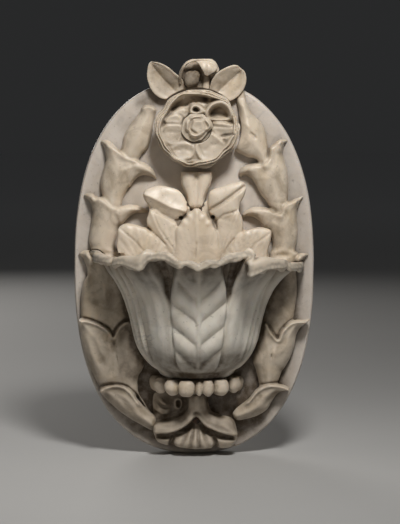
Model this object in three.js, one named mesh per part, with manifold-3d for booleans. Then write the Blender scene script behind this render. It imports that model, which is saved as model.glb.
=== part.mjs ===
// Holy water stoup in pale marble: an oval wall slab with two garlands of
// husks, a half-bell basin of overlapping petals on a beaded collar and a leaf
// pendant, and above the basin a spray of leaves, a rose and three crest leaves.
// Millimetres. +Z is up, the flat back lies in the plane y = 0 and the front
// faces -Y. Depth below means the distance in front of that back plane.
import * as THREE from "three";
import { mergeVertices } from "three/addons/utils/BufferGeometryUtils.js";
import Module from "manifold-3d";

const wasm = await Module();
wasm.setup();

// ---- driving dimensions -------------------------------------------------
const SLAB_A = 120.2; // half width of the oval slab
const SLAB_B = 187.5; // half height of the oval slab
const SLAB_FULL = 2.38; // fullness of the oval; 2 would be an ellipse
const SLAB_X = -1; // middle of the slab as carved; the whole is moved there
const SLAB_Z = -2;
const SLAB_T = 23; // slab thickness
const SLAB_EDGE = 2; // chamfer round the front edge
const GAP = 0.3; // dry joint between two pieces
const RELIEF = SLAB_T + GAP; // depth at which applied stones start
const AXIS_X = 1.5; // centre line of basin, collar and foot
const BED_T = 1.2; // mortar bed behind the basin
const BASIN_BACK = RELIEF + BED_T + GAP; // back plane of the basin
const BASIN_WALL = 14; // thickness of the basin's own back wall
const LEDGE_Z = -12; // top of that back wall, where the spray sits
const PETAL_STEP = 48.5; // degrees from one outer petal to the next
const BEAD_RING = 40.5; // radius of the ring of beads
const BEAD_R = 7;
const COLLAR_TOP = -109.6;
const COLLAR_BOTTOM = -125;
const FOOT_TOP = COLLAR_BOTTOM - GAP;
const ROSE = { x: 2.1, z: 137.8, rx: 43, rz: 40.3 };
const HEART_R = 14;
const HEART_SEAT = 45; // depth of the seat of the rose's heart
const STEM = { bottom: 57.2, top: 95.2 };
const POCKET = { half: 30, z0: 92, z1: 118, deep: 15 }; // hanging pocket
const BAR = { half: 40, z: 105, size: 6.4, d0: 1.2, shoulder: 29.4, tenon: 5 }; // iron bar across it
const LEAD = { x1: 42, half: 7, deep: 9 }; // lead round the bar's ends

// Basin profile, [radius, z], from the middle of the bottom up to the rim.
const BASIN_OUT = [[0, -109], [24, -107], [41, -102], [48.5, -97], [55, -89], [61.5, -72], [66.5, -50], [72, -29], [82, -11], [92, 1], [102, 7], [99, 11], [0, 11]];
const BASIN_IN = [[0, -66], [38, -62], [48, -55], [54.5, -45], [60, -30], [70, -10], [80, 2], [92, 11], [97, 30], [0, 30]];

// Garland husks, from the foot upwards: outer edge, middle line and inner edge
// of each husk from its base to its mouth, and the middles of its two lips.
// Every point is [x, z, depth].
const HUSKS_LEFT = [
  { eo: [[-41.3, -176, 27], [-55.3, -167.3, 27.1], [-70.3, -153, 27.6], [-83.3, -139.1, 29.1], [-94.6, -125, 32]],
    m: [[-33.1, -166.8, 33], [-51.9, -145.2, 41], [-67.8, -121.4, 39]],
    ei: [[-27.2, -161.7, 27], [-43.2, -151.6, 27.1], [-52.2, -142.3, 27.8], [-56.2, -127.9, 29.5], [-55, -108.1, 33]], lo: [-82.9, -118.1, 37], li: [-57.9, -117.6, 37] },
  { eo: [[-91.4, -128.3, 27], [-101.3, -110, 27.1], [-107.7, -90.7, 27.6], [-112.5, -71.4, 29.1], [-116.3, -53.4, 32]],
    m: [[-80.2, -131.7, 31], [-86.5, -93.8, 42], [-80.6, -69.1, 39]],
    ei: [[-69.3, -128.3, 27], [-74.2, -103.9, 27.1], [-72.1, -85.7, 27.8], [-69, -71.3, 29.5], [-62.8, -56.8, 33]], lo: [-97.5, -54.3, 37], li: [-72.7, -63.4, 37] },
  { eo: [[-113.1, -63.6, 27], [-114, -39.4, 27], [-111.9, -21.3, 27.3], [-107.8, -7.2, 28.1], [-108.6, 2, 29.6], [-117.4, 13.7, 32]],
    m: [[-96.9, -65.1, 31], [-96.2, -22.8, 42], [-91.2, 14.8, 39]],
    ei: [[-82.1, -63.6, 27], [-83, -35.4, 27.1], [-81.9, -19.2, 27.8], [-77.8, -7, 29.5], [-70.6, 3.3, 33]], lo: [-104.2, 14.6, 37], li: [-80.4, 9.6, 37] },
  { eo: [[-101.8, 5.8, 27], [-105.7, 25.8, 27], [-104.6, 43.8, 27.3], [-103.5, 55.8, 28.1], [-106.3, 63.9, 29.6], [-112.6, 71, 32]],
    m: [[-90.6, 5.1, 31], [-89, 40.8, 42], [-81.1, 68.4, 39]],
    ei: [[-77.8, 8.8, 27], [-76.7, 34.8, 27], [-72.7, 43.3, 27.4], [-64.7, 48.8, 28.3], [-56.7, 51.4, 30.1], [-47.6, 52.1, 33]], lo: [-99, 73.7, 37], li: [-64.3, 63.8, 37] },
  { eo: [[-91.6, 58.7, 27], [-95, 77.7, 27.1], [-92.4, 97.6, 27.6], [-89.8, 113.5, 29.1], [-95, 126, 32]],
    m: [[-82.5, 55, 31], [-76.9, 89.3, 42], [-66.1, 113.8, 39]],
    ei: [[-73.7, 58.7, 27], [-64.1, 83.6, 27.1], [-55.6, 91.1, 27.8], [-46.6, 90.7, 29.5], [-37.6, 87.9, 33]], lo: [-81.9, 126.6, 37], li: [-48.4, 103.4, 37] },
  { eo: [[-73.5, 108.5, 27], [-70.4, 133.3, 27.1], [-63.4, 148.1, 27.6], [-55.9, 161, 29.1], [-52.3, 164, 32]],
    m: [[-65.4, 103.7, 31], [-55.1, 136.5, 42], [-44.3, 162, 39]],
    ei: [[-55.6, 99.5, 27], [-47.1, 119.4, 27.1], [-46.6, 133.3, 27.8], [-39.6, 148.1, 29.5], [-35.5, 158.1, 33]], lo: [-48.3, 162.5, 37], li: [-39.4, 161, 37] },
];
const HUSKS_RIGHT = [
  { eo: [[39.2, -160.7, 27], [55.2, -155.1, 27.1], [67.3, -146.9, 27.6], [75.2, -136.1, 28.9], [84.1, -128.6, 31.6], [95.4, -123.8, 36]],
    m: [[34.1, -153.6, 33], [52.8, -135.8, 43], [67.8, -119.2, 40]],
    ei: [[33.1, -146.5, 27], [45.2, -138.4, 27.1], [51.2, -131.2, 27.8], [53.1, -121.8, 29.5], [52, -108.1, 33]], lo: [80.8, -116.5, 38], li: [55.9, -115.5, 38] },
  { eo: [[82.3, -124.2, 27], [91.2, -100.9, 27], [97.2, -85.7, 27.3], [99.1, -74.5, 28.1], [104, -64.3, 29.6], [116.3, -52.7, 32]],
    m: [[71.1, -127.6, 31], [75.6, -95.8, 42], [79.7, -73.1, 39]],
    ei: [[61.2, -120.2, 27], [58.6, -93.8, 27.1], [61.1, -80.6, 27.8], [66, -71.3, 29.5], [73.4, -60.8, 33]], lo: [94.6, -53.8, 37], li: [74.7, -67.4, 37] },
  { eo: [[96.1, -63.6, 27], [99, -42.4, 27], [101.9, -28.3, 27.3], [100.8, -14.2, 28.1], [103.7, -1, 29.6], [116, 12.2, 32]],
    m: [[86.9, -67.1, 31], [89.3, -22.8, 42], [88.3, 11.8, 39]],
    ei: [[78.1, -63.6, 27], [78, -35.4, 27.1], [78.9, -19.2, 27.8], [77.8, -5, 29.5], [72.7, 5.3, 33]], lo: [103.3, 11.6, 37], li: [80.5, 8.6, 37] },
  { eo: [[100.8, 5.8, 27], [102.7, 26.8, 27], [102.6, 43.8, 27.3], [102.5, 55.8, 28.1], [104.4, 63.4, 29.6], [112.7, 71.6, 32]],
    m: [[89.7, 3.1, 31], [87.1, 39.8, 42], [83.2, 56.5, 39]],
    ei: [[77.8, 8.8, 27], [73.8, 32.8, 27], [68.8, 40.3, 27.4], [61.7, 45.3, 28.3], [54.7, 47.9, 30.1], [48.2, 47.1, 33]], lo: [96.1, 68.7, 37], li: [63.4, 61.8, 37] },
  { eo: [[92.6, 58.7, 27], [93.5, 79.6, 27], [91.5, 94.6, 27.3], [87.4, 108.5, 28.1], [86.8, 116.5, 29.6], [93.1, 126.2, 32]],
    m: [[81.5, 53, 31], [77, 87.3, 42], [70.2, 104, 39]],
    ei: [[71.7, 54.7, 27], [66.7, 70.7, 27.1], [58.7, 81.7, 27.8], [50.7, 87.7, 29.5], [43.2, 85.9, 33]], lo: [80.1, 126.1, 37], li: [53.4, 102.4, 37] },
  { eo: [[71.6, 94.6, 27], [72.5, 117.4, 27.1], [67.5, 138.2, 27.6], [60.5, 152.1, 29.1], [53.4, 164.9, 32]],
    m: [[63.5, 94.7, 31], [58.2, 134.6, 42], [47.4, 160.1, 39]],
    ei: [[53.7, 98.5, 27], [49.7, 119.4, 27.1], [44.7, 135.3, 27.8], [41.6, 148.1, 29.5], [40.6, 154.1, 33]], lo: [51.3, 163, 37], li: [43.5, 158.1, 37] },
];

// Leaves: left edge, midrib and right edge, from base to tip.
const SPRAY = {
  centre: { e1: [[-14.7, -10.1, 50], [-21.6, 14, 54], [-22.5, 28.8, 54], [-18.6, 44.5, 53], [-8.8, 55.9, 53], [0.1, 59.9, 54]],
    m: [[2, -11.7, 54], [2.1, 14.8, 63], [1.6, 37.4, 64], [1.1, 60.2, 56]],
    e2: [[19.8, -10.1, 50], [24.7, 14, 54], [26.6, 28.8, 54], [21.7, 45.5, 53], [11.9, 55.9, 53], [2.1, 59.9, 54]] },
  left_inner: { e1: [[-26.7, -9.9, 42], [-36.5, 13.2, 44], [-44.4, 28.1, 45], [-47.3, 42, 45], [-46.3, 52.9, 45], [-43.3, 56.4, 46]],
    m: [[-14.8, -11.5, 46], [-24.5, 16.9, 53], [-34.3, 38.6, 53], [-41.8, 57, 47]],
    e2: [[-4.9, -9.5, 46], [-11.8, 18.6, 50], [-16.7, 36.4, 50], [-25.6, 50.1, 48], [-34.4, 57, 47], [-40.4, 57.4, 46]] },
  right_inner: { e1: [[9.9, -9.5, 46], [15.8, 18.6, 50], [20.8, 36.4, 50], [26.7, 49.1, 48], [34.6, 58.9, 47], [45.4, 64.3, 46]],
    m: [[18.8, -11.5, 46], [30.6, 18.9, 53], [39.4, 38.6, 53], [47.4, 63.9, 47]],
    e2: [[32.8, -9.9, 42], [44.6, 12.2, 44], [48.5, 25.2, 45], [50.4, 40, 45], [51.4, 53.9, 45], [49.4, 62.8, 46]] },
  left_outer: { e1: [[-59.6, -10.2, 38], [-70.4, 5.8, 39], [-75.3, 15.8, 40], [-77.2, 27.8, 40], [-76.6, 37.8, 41], [-74.2, 40.7, 41]],
    m: [[-44.6, -14, 40], [-51.3, 10.5, 47], [-61.1, 28.3, 47], [-72.1, 41.8, 42]],
    e2: [[-26.7, -13.8, 42], [-29.6, 10.4, 46], [-34.5, 25.2, 46], [-44.4, 37, 44], [-57.3, 42.3, 42], [-69.2, 42.2, 41]] },
  right_outer: { e1: [[30.8, -13.8, 42], [33.7, 10.4, 46], [37.6, 24.3, 46], [47.5, 35, 44], [60.4, 40.8, 42], [71.3, 40.7, 41]],
    m: [[46.7, -14, 40], [53.4, 10.5, 47], [63.2, 27.3, 47], [74.2, 39.8, 42]],
    e2: [[62.6, -10.2, 38], [72.5, 5.8, 39], [75.4, 17.8, 40], [76.3, 27.8, 40], [75.8, 35.8, 41], [74.8, 38.8, 41]] },
  upper_left: { e1: [[-16.8, 53.3, 36], [-29.7, 52.4, 37], [-40.6, 57.3, 37], [-47.5, 64.3, 37], [-50.9, 70.2, 37], [-51.4, 74.2, 37]],
    m: [[-8.9, 56.4, 38], [-24.6, 66.6, 43], [-38.5, 73.5, 42], [-50.4, 76.2, 38]],
    e2: [[-6.9, 65.2, 36], [-13.8, 75.2, 38], [-22.7, 80.2, 38], [-32.6, 81.7, 38], [-43.5, 81.7, 38], [-48.4, 79.1, 37]] },
  upper_right: { e1: [[10, 65.2, 36], [15.9, 75.2, 38], [24.8, 79.7, 38], [34.7, 82.2, 38], [44.6, 82.7, 38], [48.5, 81.1, 37]],
    m: [[10.9, 56.4, 38], [26.7, 66.6, 43], [39.6, 73.5, 42], [51, 80.2, 38]],
    e2: [[18.9, 51.3, 36], [30.8, 50.4, 37], [40.7, 56.3, 37], [46.6, 65.3, 37], [50.5, 73.2, 37], [51.5, 78.2, 37]] },
};
const CALYX = [
  { e1: [[-5.9, 54.4, 37], [-8.9, 71.2, 37], [-12.3, 79.2, 38], [-13.8, 87.1, 38], [-13.3, 96.1, 39]],
    m: [[-0.9, 53.6, 41], [-3.9, 71.6, 44], [-6.8, 83.4, 44], [-10.8, 99.1, 40]],
    e2: [[3, 54.6, 41], [2, 71.6, 44], [2, 81.4, 42], [-1.9, 89.2, 40], [-7.8, 99, 39]] },
  { e1: [[-0.9, 54.6, 41], [0.1, 71.6, 44], [1.1, 81.4, 42], [4, 89.2, 40], [9.9, 99, 39]],
    m: [[3, 53.6, 41], [6, 71.6, 44], [9.9, 83.4, 44], [13.9, 99.1, 40]],
    e2: [[8, 54.4, 37], [10.9, 71.2, 37], [14.9, 79.2, 38], [16.4, 87.1, 38], [16.4, 97, 39]] },
];
const CREST_LEFT = { e1: [[-24.7, 165.9, 30], [-34.6, 167.9, 31], [-42.4, 174.8, 32], [-46.8, 185.6, 33], [-47.3, 193.5, 33], [-45.8, 201.3, 34]],
    m: [[-14.8, 170.8, 30], [-26.6, 181.7, 31], [-35.5, 191.5, 32], [-44.3, 203.3, 34]],
    e2: [[-8.8, 177.7, 30], [-12.8, 186.6, 34], [-19.6, 192.5, 36], [-26.5, 198.4, 36], [-34.4, 202.3, 35], [-42.3, 203.8, 34]] };
const CREST_RIGHT = { e1: [[13.9, 175.8, 32], [16.8, 185.6, 36], [21.7, 192.5, 37], [29.6, 197.4, 37], [37.5, 200.3, 36], [42.4, 199.8, 35]],
    m: [[18.9, 169.9, 30], [28.7, 179.7, 32], [38.6, 188.6, 33], [46.9, 195.9, 34]],
    e2: [[26.8, 163.9, 30], [37.6, 165.9, 31], [46.5, 173.8, 32], [50.4, 182.7, 33], [50.4, 190.5, 34], [47.9, 195.9, 34]] };
const CREST_CURL = [
  { e1: [[-13.8, 173.8, 31], [-14.2, 185.6, 33], [-11.8, 195.4, 35], [-4.8, 202.8, 36], [2, 206.2, 36]],
    m: [[5, 171.8, 32], [5, 187.6, 34], [5, 199.3, 36], [4.5, 206.4, 36]],
    e2: [[22.8, 173.8, 31], [24.2, 185.6, 33], [23.2, 193.5, 36], [16.8, 202.7, 38], [8, 206.2, 36]] },
  { e1: [[8, 205.7, 37], [6, 201.2, 43], [6.5, 195.4, 44], [9.9, 190, 40]],
    m: [[12.9, 205.7, 37], [12.8, 200.2, 46], [12.4, 194.4, 46], [11.9, 189, 41]],
    e2: [[18.8, 202.8, 37], [21.2, 199.3, 43], [19.7, 194.4, 43], [13.9, 190, 40]] },
];
const FOOT_LEAVES = [
  { e1: [[-5, -143.7, 44], [-18.9, -147.4, 46], [-32.9, -150.8, 44], [-44, -156.8, 38]],
    m: [[-2.9, -150.4, 52], [-16.8, -152.9, 55], [-30.8, -156.6, 51], [-43.9, -160.2, 42]],
    e2: [[-2, -160.2, 42], [-11, -164.2, 42], [-25, -166.6, 40], [-43, -165.3, 36]] },
  { e1: [[9, -143.7, 44], [20.9, -145.4, 46], [33.9, -148.8, 44], [43, -156.8, 38]],
    m: [[8, -150.4, 52], [20.9, -152.9, 55], [33.8, -157.6, 51], [43.9, -163.2, 42]],
    e2: [[7, -160.2, 42], [16, -163.2, 42], [29, -166.6, 40], [43, -171.3, 36]] },
  { e1: [[-8, -151.8, 44], [-13, -164.6, 40], [-19, -174, 38], [-21, -183.1, 38]],
    m: [[2, -150.8, 50], [2, -164.8, 50], [1, -181.7, 46]],
    e2: [[12, -151.8, 44], [16, -164.6, 40], [18, -174, 38], [19, -183.1, 38]] },
  { e1: [[-9, -131.9, 36], [-25, -132.1, 35], [-39, -130.2, 34], [-47, -129.4, 33]],
    m: [[-7, -140.7, 38], [-23, -141.8, 37], [-37, -140, 36], [-46, -135.1, 35]],
    e2: [[-5, -148.4, 46], [-20.8, -148.8, 50], [-34.8, -149.1, 48], [-46.8, -145.1, 42]] },
  { e1: [[12, -131.9, 36], [25, -132.1, 35], [35, -131.2, 34], [42, -130.4, 33]],
    m: [[11, -139.7, 38], [24, -140, 36], [34, -139.1, 35], [42, -136.1, 35]],
    e2: [[10, -147.4, 46], [22.9, -147.8, 50], [33.8, -146.1, 48], [42.9, -139.9, 43]] },
];

// ---- solids -------------------------------------------------------------
function solid(geometry) {
  geometry.deleteAttribute("normal");
  geometry.deleteAttribute("uv");
  const g = mergeVertices(geometry.index ? geometry.toNonIndexed() : geometry, 1e-4);
  const p = g.getAttribute("position").array;
  const tris = [];
  let volume = 0;
  const v = (i) => new THREE.Vector3(p[3 * i], p[3 * i + 1], p[3 * i + 2]);
  for (let i = 0; i < g.index.count; i += 3) {
    const [a, b, c] = [g.index.getX(i), g.index.getX(i + 1), g.index.getX(i + 2)];
    if (a === b || b === c || c === a) continue;
    tris.push(a, b, c);
    volume += v(a).dot(v(b).cross(v(c)));
  }
  if (volume < 0) for (let i = 0; i < tris.length; i += 3) [tris[i], tris[i + 1]] = [tris[i + 1], tris[i]];
  return new wasm.Manifold(new wasm.Mesh({ numProp: 3, vertProperties: new Float32Array(p), triVerts: new Uint32Array(tris) }));
}
const union = (list) => list.reduce((a, b) => a.add(b));
const cut = (a, list) => list.reduce((x, y) => x.subtract(y), a);

// box between two corners given as x, depth and z
function block(x0, x1, d0, d1, z0, z1) {
  return solid(new THREE.BoxGeometry(x1 - x0, d1 - d0, z1 - z0).translate((x0 + x1) / 2, -(d0 + d1) / 2, (z0 + z1) / 2));
}
// outline in x and z, extruded from one depth to another
function slabOf(points, d0, d1) {
  const shape = new THREE.Shape(points.map(([x, z]) => new THREE.Vector2(x, z)));
  const g = new THREE.ExtrudeGeometry(shape, { depth: d1 - d0, bevelEnabled: false });
  g.translate(0, 0, d0).rotateX(Math.PI / 2);
  return solid(g);
}
// the slab's oval, a little fuller than an ellipse
function oval(inset, n) {
  return Array.from({ length: n }, (_, i) => {
    const t = (2 * Math.PI * (i + 0.5)) / n;
    const [c, s] = [Math.cos(t), Math.sin(t)];
    const k = (Math.abs(c) ** SLAB_FULL + Math.abs(s) ** SLAB_FULL) ** (-1 / SLAB_FULL);
    return [SLAB_X + (SLAB_A - inset) * c * k, SLAB_Z + (SLAB_B - inset) * s * k];
  });
}
// round bar along the depth axis
function rod(x, z, r, d0, d1, n = 12) {
  return solid(new THREE.CylinderGeometry(r, r, d1 - d0, n).translate(x, -(d0 + d1) / 2, z));
}
// round bar along z
function post(x, d, r, z0, z1, n = 12) {
  return solid(new THREE.CylinderGeometry(r, r, z1 - z0, n).rotateX(Math.PI / 2).translate(x, -d, (z0 + z1) / 2));
}
const curve = (pts) => new THREE.CatmullRomCurve3(pts.map(([x, z, d]) => new THREE.Vector3(x, -d, z)), false, "centripetal");

// A carved leaf: the surface runs from edge to edge over the middle line, and
// the solid goes down to the depth `floor`. `grow` widens it a little, for the
// room that a neighbour leaves round it.
function leaf({ e1, m, e2, l1, l2 }, { floor = RELIEF, ns = 4, nt = 5, round = 2.6, grow = 0 } = {}) {
  const [c1, cm, c2] = [curve(e1), curve(m), curve(e2)];
  const g = new THREE.BoxGeometry(2, 1, 1, ns, nt, 1);
  const p = g.getAttribute("position");
  const lips = [l1, l2].map((l, k) => {
    if (!l) return null;
    const [a, b, c] = [c1.getPoint(1), cm.getPoint(1), c2.getPoint(1)];
    const mid = k === 0 ? b.clone().multiplyScalar(0.75).addScaledVector(a, 0.375).addScaledVector(c, -0.125) : b.clone().multiplyScalar(0.75).addScaledVector(c, 0.375).addScaledVector(a, -0.125);
    return new THREE.Vector3(l[0], -l[2], l[1]).sub(mid);
  });
  for (let i = 0; i < p.count; i++) {
    const s = p.getX(i) * (1 + grow);
    const t = Math.min(1, Math.max(0, p.getY(i) + 0.5));
    const [a, b, c] = [c1.getPoint(t), cm.getPoint(t), c2.getPoint(t)];
    if (a.distanceTo(c) < 2) {
      a.x -= 0.8;
      c.x += 0.8;
    }
    const half = c.clone().sub(a).multiplyScalar(0.5);
    const bow = a.clone().add(c).multiplyScalar(0.5).sub(b);
    const q = b.clone().addScaledVector(half, s);
    q.x += bow.x * s * s;
    q.z += bow.z * s * s;
    q.y += bow.y * Math.abs(s) ** round;
    const lip = s < 0 ? lips[0] : lips[1];
    if (lip) {
      const w = 4 * Math.abs(s) * Math.max(0, 1 - Math.abs(s)) * t * t;
      q.x += lip.x * w;
      q.z += lip.z * w;
    }
    if (grow) {
      const mid = cm.getPoint(0.5);
      q.x += Math.sign(q.x - mid.x) * 0.3;
      q.z += Math.sign(q.z - mid.z) * 0.5;
      q.y -= 0.4;
    }
    if (p.getZ(i) < 0) q.y = -(grow ? floor - 3 : floor);
    p.setXYZ(i, q.x, q.y, q.z);
  }
  return solid(g);
}
const husk = (h, o) => leaf({ e1: h.eo, m: h.m, e2: h.ei, l1: h.lo, l2: h.li }, { ns: 4, nt: 5, ...o });

// Turned shape about the basin's axis, given petals that swell and dip.
function bell(profile, grow = 0, lower = 0, n = 36) {
  const g = new THREE.LatheGeometry(profile.map(([r, z]) => new THREE.Vector2(r > 0 ? r + grow : 0, (z < -60 ? z - grow : z + grow) - lower)), n);
  g.rotateX(Math.PI / 2);
  const p = g.getAttribute("position");
  for (let i = 0; i < p.count; i++) {
    const [x, d, z] = [p.getX(i), -p.getY(i), p.getZ(i)];
    const r = Math.hypot(x, d);
    if (r < 1e-6) {
      p.setXYZ(i, AXIS_X, -BASIN_BACK, z);
      continue;
    }
    const f = Math.atan2(x, d);
    const a = f - 0.45 * Math.sin(f); // more facets towards the front
    const wave = Math.cos((2 * Math.PI * ((a * 180) / Math.PI)) / PETAL_STEP);
    const high = THREE.MathUtils.smoothstep(z, -60, 8);
    const rr = r + (Math.abs(a) < 1.9 ? wave : 0) * (0.6 + 2.2 * high) * Math.min(1, r / 40);
    const zz = z - (Math.abs(a) < 1.9 ? wave : 0) * 3 * THREE.MathUtils.smoothstep(z, -5, 9) * Math.min(1, r / 80);
    p.setXYZ(i, AXIS_X + rr * Math.sin(a), -(BASIN_BACK + rr * Math.cos(a)), zz);
  }
  return solid(g);
}

// ---- materials ----------------------------------------------------------
const stone = (color) => new THREE.MeshStandardMaterial({ color, roughness: 0.42, metalness: 0 });
const marble = stone(0xcfc3b1);
const marblePale = stone(0xd6cebf);
const iron = new THREE.MeshStandardMaterial({ color: 0x4a4039, roughness: 0.7, metalness: 0.9 });
const lead = new THREE.MeshStandardMaterial({ color: 0x8b8d90, roughness: 0.6, metalness: 0.8 });
const mortar = new THREE.MeshStandardMaterial({ color: 0xb8ae9c, roughness: 0.95, metalness: 0 });

const stoup = new THREE.Group();
function piece(name, s, material) {
  const m = s.getMesh();
  const v = new Float32Array(m.numVert * 3);
  for (let i = 0; i < m.numVert; i++) v.set(m.vertProperties.subarray(i * m.numProp, i * m.numProp + 3), i * 3);
  const g = new THREE.BufferGeometry();
  g.setAttribute("position", new THREE.BufferAttribute(v, 3));
  g.setIndex(new THREE.BufferAttribute(new Uint32Array(m.triVerts), 1));
  g.computeVertexNormals();
  const mesh = new THREE.Mesh(g, material.clone());
  mesh.name = name;
  stoup.add(mesh);
}
const biggest = (s) => s.decompose().sort((a, b) => b.volume() - a.volume())[0];

// ---- dowels: [name, x, z, radius, depth in the slab, depth in the piece] ---
const DOWELS = [
  ["basin_dowel_left", AXIS_X - 44, -52, 5, 9, 34],
  ["basin_dowel_right", AXIS_X + 44, -52, 5, 9, 34],
  ["foot_dowel", AXIS_X, -152, 4, 10, 42],
  ["spray_dowel", AXIS_X, 24, 4, 10, 44],
  ["stem_dowel", AXIS_X, 80, 3, 10, 37],
  ["rose_pin", ROSE.x, ROSE.z, 4, 10, 52],
  ["crest_dowel_left", -31, 175.5, 2.5, 11, 28],
  ["crest_dowel_right", 34, 174.5, 2.5, 11, 28],
  ["crest_dowel_center", 3, 184, 2.5, 11, 29],
  ["garland_pin_left_upper", -79, 88, 2.5, 11, 36],
  ["garland_pin_left_lower", -82, -88, 2.5, 11, 35],
  ["garland_pin_right_upper", 79, 84, 2.5, 11, 36],
  ["garland_pin_right_lower", 76, -92, 2.5, 11, 35],
];
const dowel = Object.fromEntries(DOWELS.map((d) => [d[0], d]));
const socket = (...names) => names.map((n) => rod(dowel[n][1], dowel[n][2], dowel[n][3] + GAP, dowel[n][4] - GAP, dowel[n][5] + GAP, 12));
const COLLAR_DOWEL = { x: AXIS_X, d: 44, r: 4, z0: -138, z1: -97 };
const collarSocket = post(COLLAR_DOWEL.x, COLLAR_DOWEL.d, COLLAR_DOWEL.r + GAP, COLLAR_DOWEL.z0 - GAP, COLLAR_DOWEL.z1 + GAP);

// ---- slab ---------------------------------------------------------------
let plate = new THREE.CylinderGeometry(1, 1, 1, 72, 2);
{
  const p = plate.getAttribute("position");
  for (let i = 0; i < p.count; i++) {
    const top = p.getY(i);
    const inset = top < -0.25 ? SLAB_EDGE : 0;
    const depth = top > 0.25 ? 0 : top < -0.25 ? SLAB_T : SLAB_T - SLAB_EDGE;
    const [c, s] = [p.getX(i), p.getZ(i)];
    const r = Math.hypot(c, s);
    const k = r < 1e-6 ? 0 : r / (Math.abs(c) ** SLAB_FULL + Math.abs(s) ** SLAB_FULL) ** (1 / SLAB_FULL);
    p.setXYZ(i, SLAB_X + c * k * (SLAB_A - inset), -depth, SLAB_Z + s * k * (SLAB_B - inset));
  }
}
plate = cut(solid(plate), [
  block(SLAB_X - POCKET.half, SLAB_X + POCKET.half, -1, POCKET.deep, POCKET.z0, POCKET.z1),
  block(SLAB_X - LEAD.x1 - GAP, SLAB_X + LEAD.x1 + GAP, -1, LEAD.deep + GAP, BAR.z - LEAD.half - GAP, BAR.z + LEAD.half + GAP),
  ...socket(...DOWELS.map((d) => d[0])),
]);
piece("back_plate", plate, marble);

// ---- hanger: iron bar across the pocket, its ends set in lead -------------
const b0 = BAR.size / 2;
const barEnd = (x0, x1, g) => {
  const [d, h] = [BAR.d0 + b0, BAR.tenon / 2 + g];
  return block(SLAB_X + x0, SLAB_X + x1, d - h, d + h, BAR.z - h, BAR.z + h);
};
piece("hanger_bar", block(SLAB_X - BAR.shoulder, SLAB_X + BAR.shoulder, BAR.d0, BAR.d0 + BAR.size, BAR.z - b0, BAR.z + b0).add(barEnd(-BAR.half, BAR.half, 0)), iron);
for (const [name, side] of [["hanger_lead_left", -1], ["hanger_lead_right", 1]]) {
  const xs = [side * (POCKET.half + GAP), side * LEAD.x1].sort((p, q) => p - q);
  const hole = [side * (POCKET.half - 2), side * (BAR.half + GAP)].sort((p, q) => p - q);
  piece(name, block(SLAB_X + xs[0], SLAB_X + xs[1], GAP, LEAD.deep, BAR.z - LEAD.half, BAR.z + LEAD.half).subtract(barEnd(hole[0], hole[1], GAP)), lead);
}

// ---- basin and its mortar bed ---------------------------------------------
const front = block(-200, 200, BASIN_BACK, 300, -300, 300);
const cavity = bell(BASIN_IN).intersect(block(-200, 200, BASIN_BACK + BASIN_WALL, 300, -300, 300));
const basin = cut(bell(BASIN_OUT).intersect(front), [
  cavity,
  block(AXIS_X - 80, AXIS_X + 80, 0, BASIN_BACK + BASIN_WALL + GAP, LEDGE_Z, 60),
  ...socket("basin_dowel_left", "basin_dowel_right"),
  collarSocket,
]);
piece("basin", biggest(basin), marblePale);
const bedSide = BASIN_OUT.slice(2, 9).map(([r, z]) => [r - 5, z]);
bedSide[0][1] += 2;
bedSide[bedSide.length - 1] = [66, LEDGE_Z - 2];
const bedShape = [...bedSide.map(([r, z]) => [AXIS_X + r, z]), ...bedSide.reverse().map(([r, z]) => [AXIS_X - r, z])];
piece("basin_bed", cut(slabOf(bedShape, RELIEF, RELIEF + BED_T), socket("basin_dowel_left", "basin_dowel_right")), mortar);

// ---- beaded collar ---------------------------------------------------------
const ahead = block(-200, 200, RELIEF, 300, -300, 300);
const BEADS = [-88, -65, -37, -15.5, 2.5, 17.5, 37, 65, 88];
const core = solid(new THREE.CylinderGeometry(35, 34, COLLAR_TOP - COLLAR_BOTTOM, 24).rotateX(Math.PI / 2).translate(AXIS_X, -RELIEF, (COLLAR_TOP + COLLAR_BOTTOM) / 2));
const beads = BEADS.map((deg, i) => {
  const a = (deg * Math.PI) / 180;
  const small = i === 4 ? 0.72 : 1;
  const ring = i === 4 ? BEAD_RING - 5 : BEAD_RING;
  const h = (COLLAR_TOP - COLLAR_BOTTOM) / 2;
  const g = new THREE.LatheGeometry([[0, -h + 0.2], [4.6, -h + 0.2], [BEAD_R, -2.5], [BEAD_R, 3], [4.6, h - 0.4], [0, h - 0.4]].map(([r, z]) => new THREE.Vector2(r * small, z)), 8);
  g.rotateX(Math.PI / 2).translate(AXIS_X + ring * Math.sin(a), -(RELIEF + ring * Math.cos(a)), (COLLAR_TOP + COLLAR_BOTTOM) / 2);
  return solid(g);
});
piece("bead_collar", cut(union([core, ...beads]).intersect(ahead), [collarSocket]), marble);

// ---- foot pendant ------------------------------------------------------------
const below = block(-200, 200, RELIEF, 300, -300, FOOT_TOP);
const footLeaves = FOOT_LEAVES.map((l) => leaf(l, { nt: 5 }));
const footStem = block(-8, 13, RELIEF, 54, -158, FOOT_TOP);
const foot = cut(union([footStem, ...footLeaves]).intersect(below), [...socket("foot_dowel"), collarSocket]);
piece("foot_pendant", biggest(foot), marble);
piece("collar_dowel", post(COLLAR_DOWEL.x, COLLAR_DOWEL.d, COLLAR_DOWEL.r, COLLAR_DOWEL.z0, COLLAR_DOWEL.z1), iron);

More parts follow.
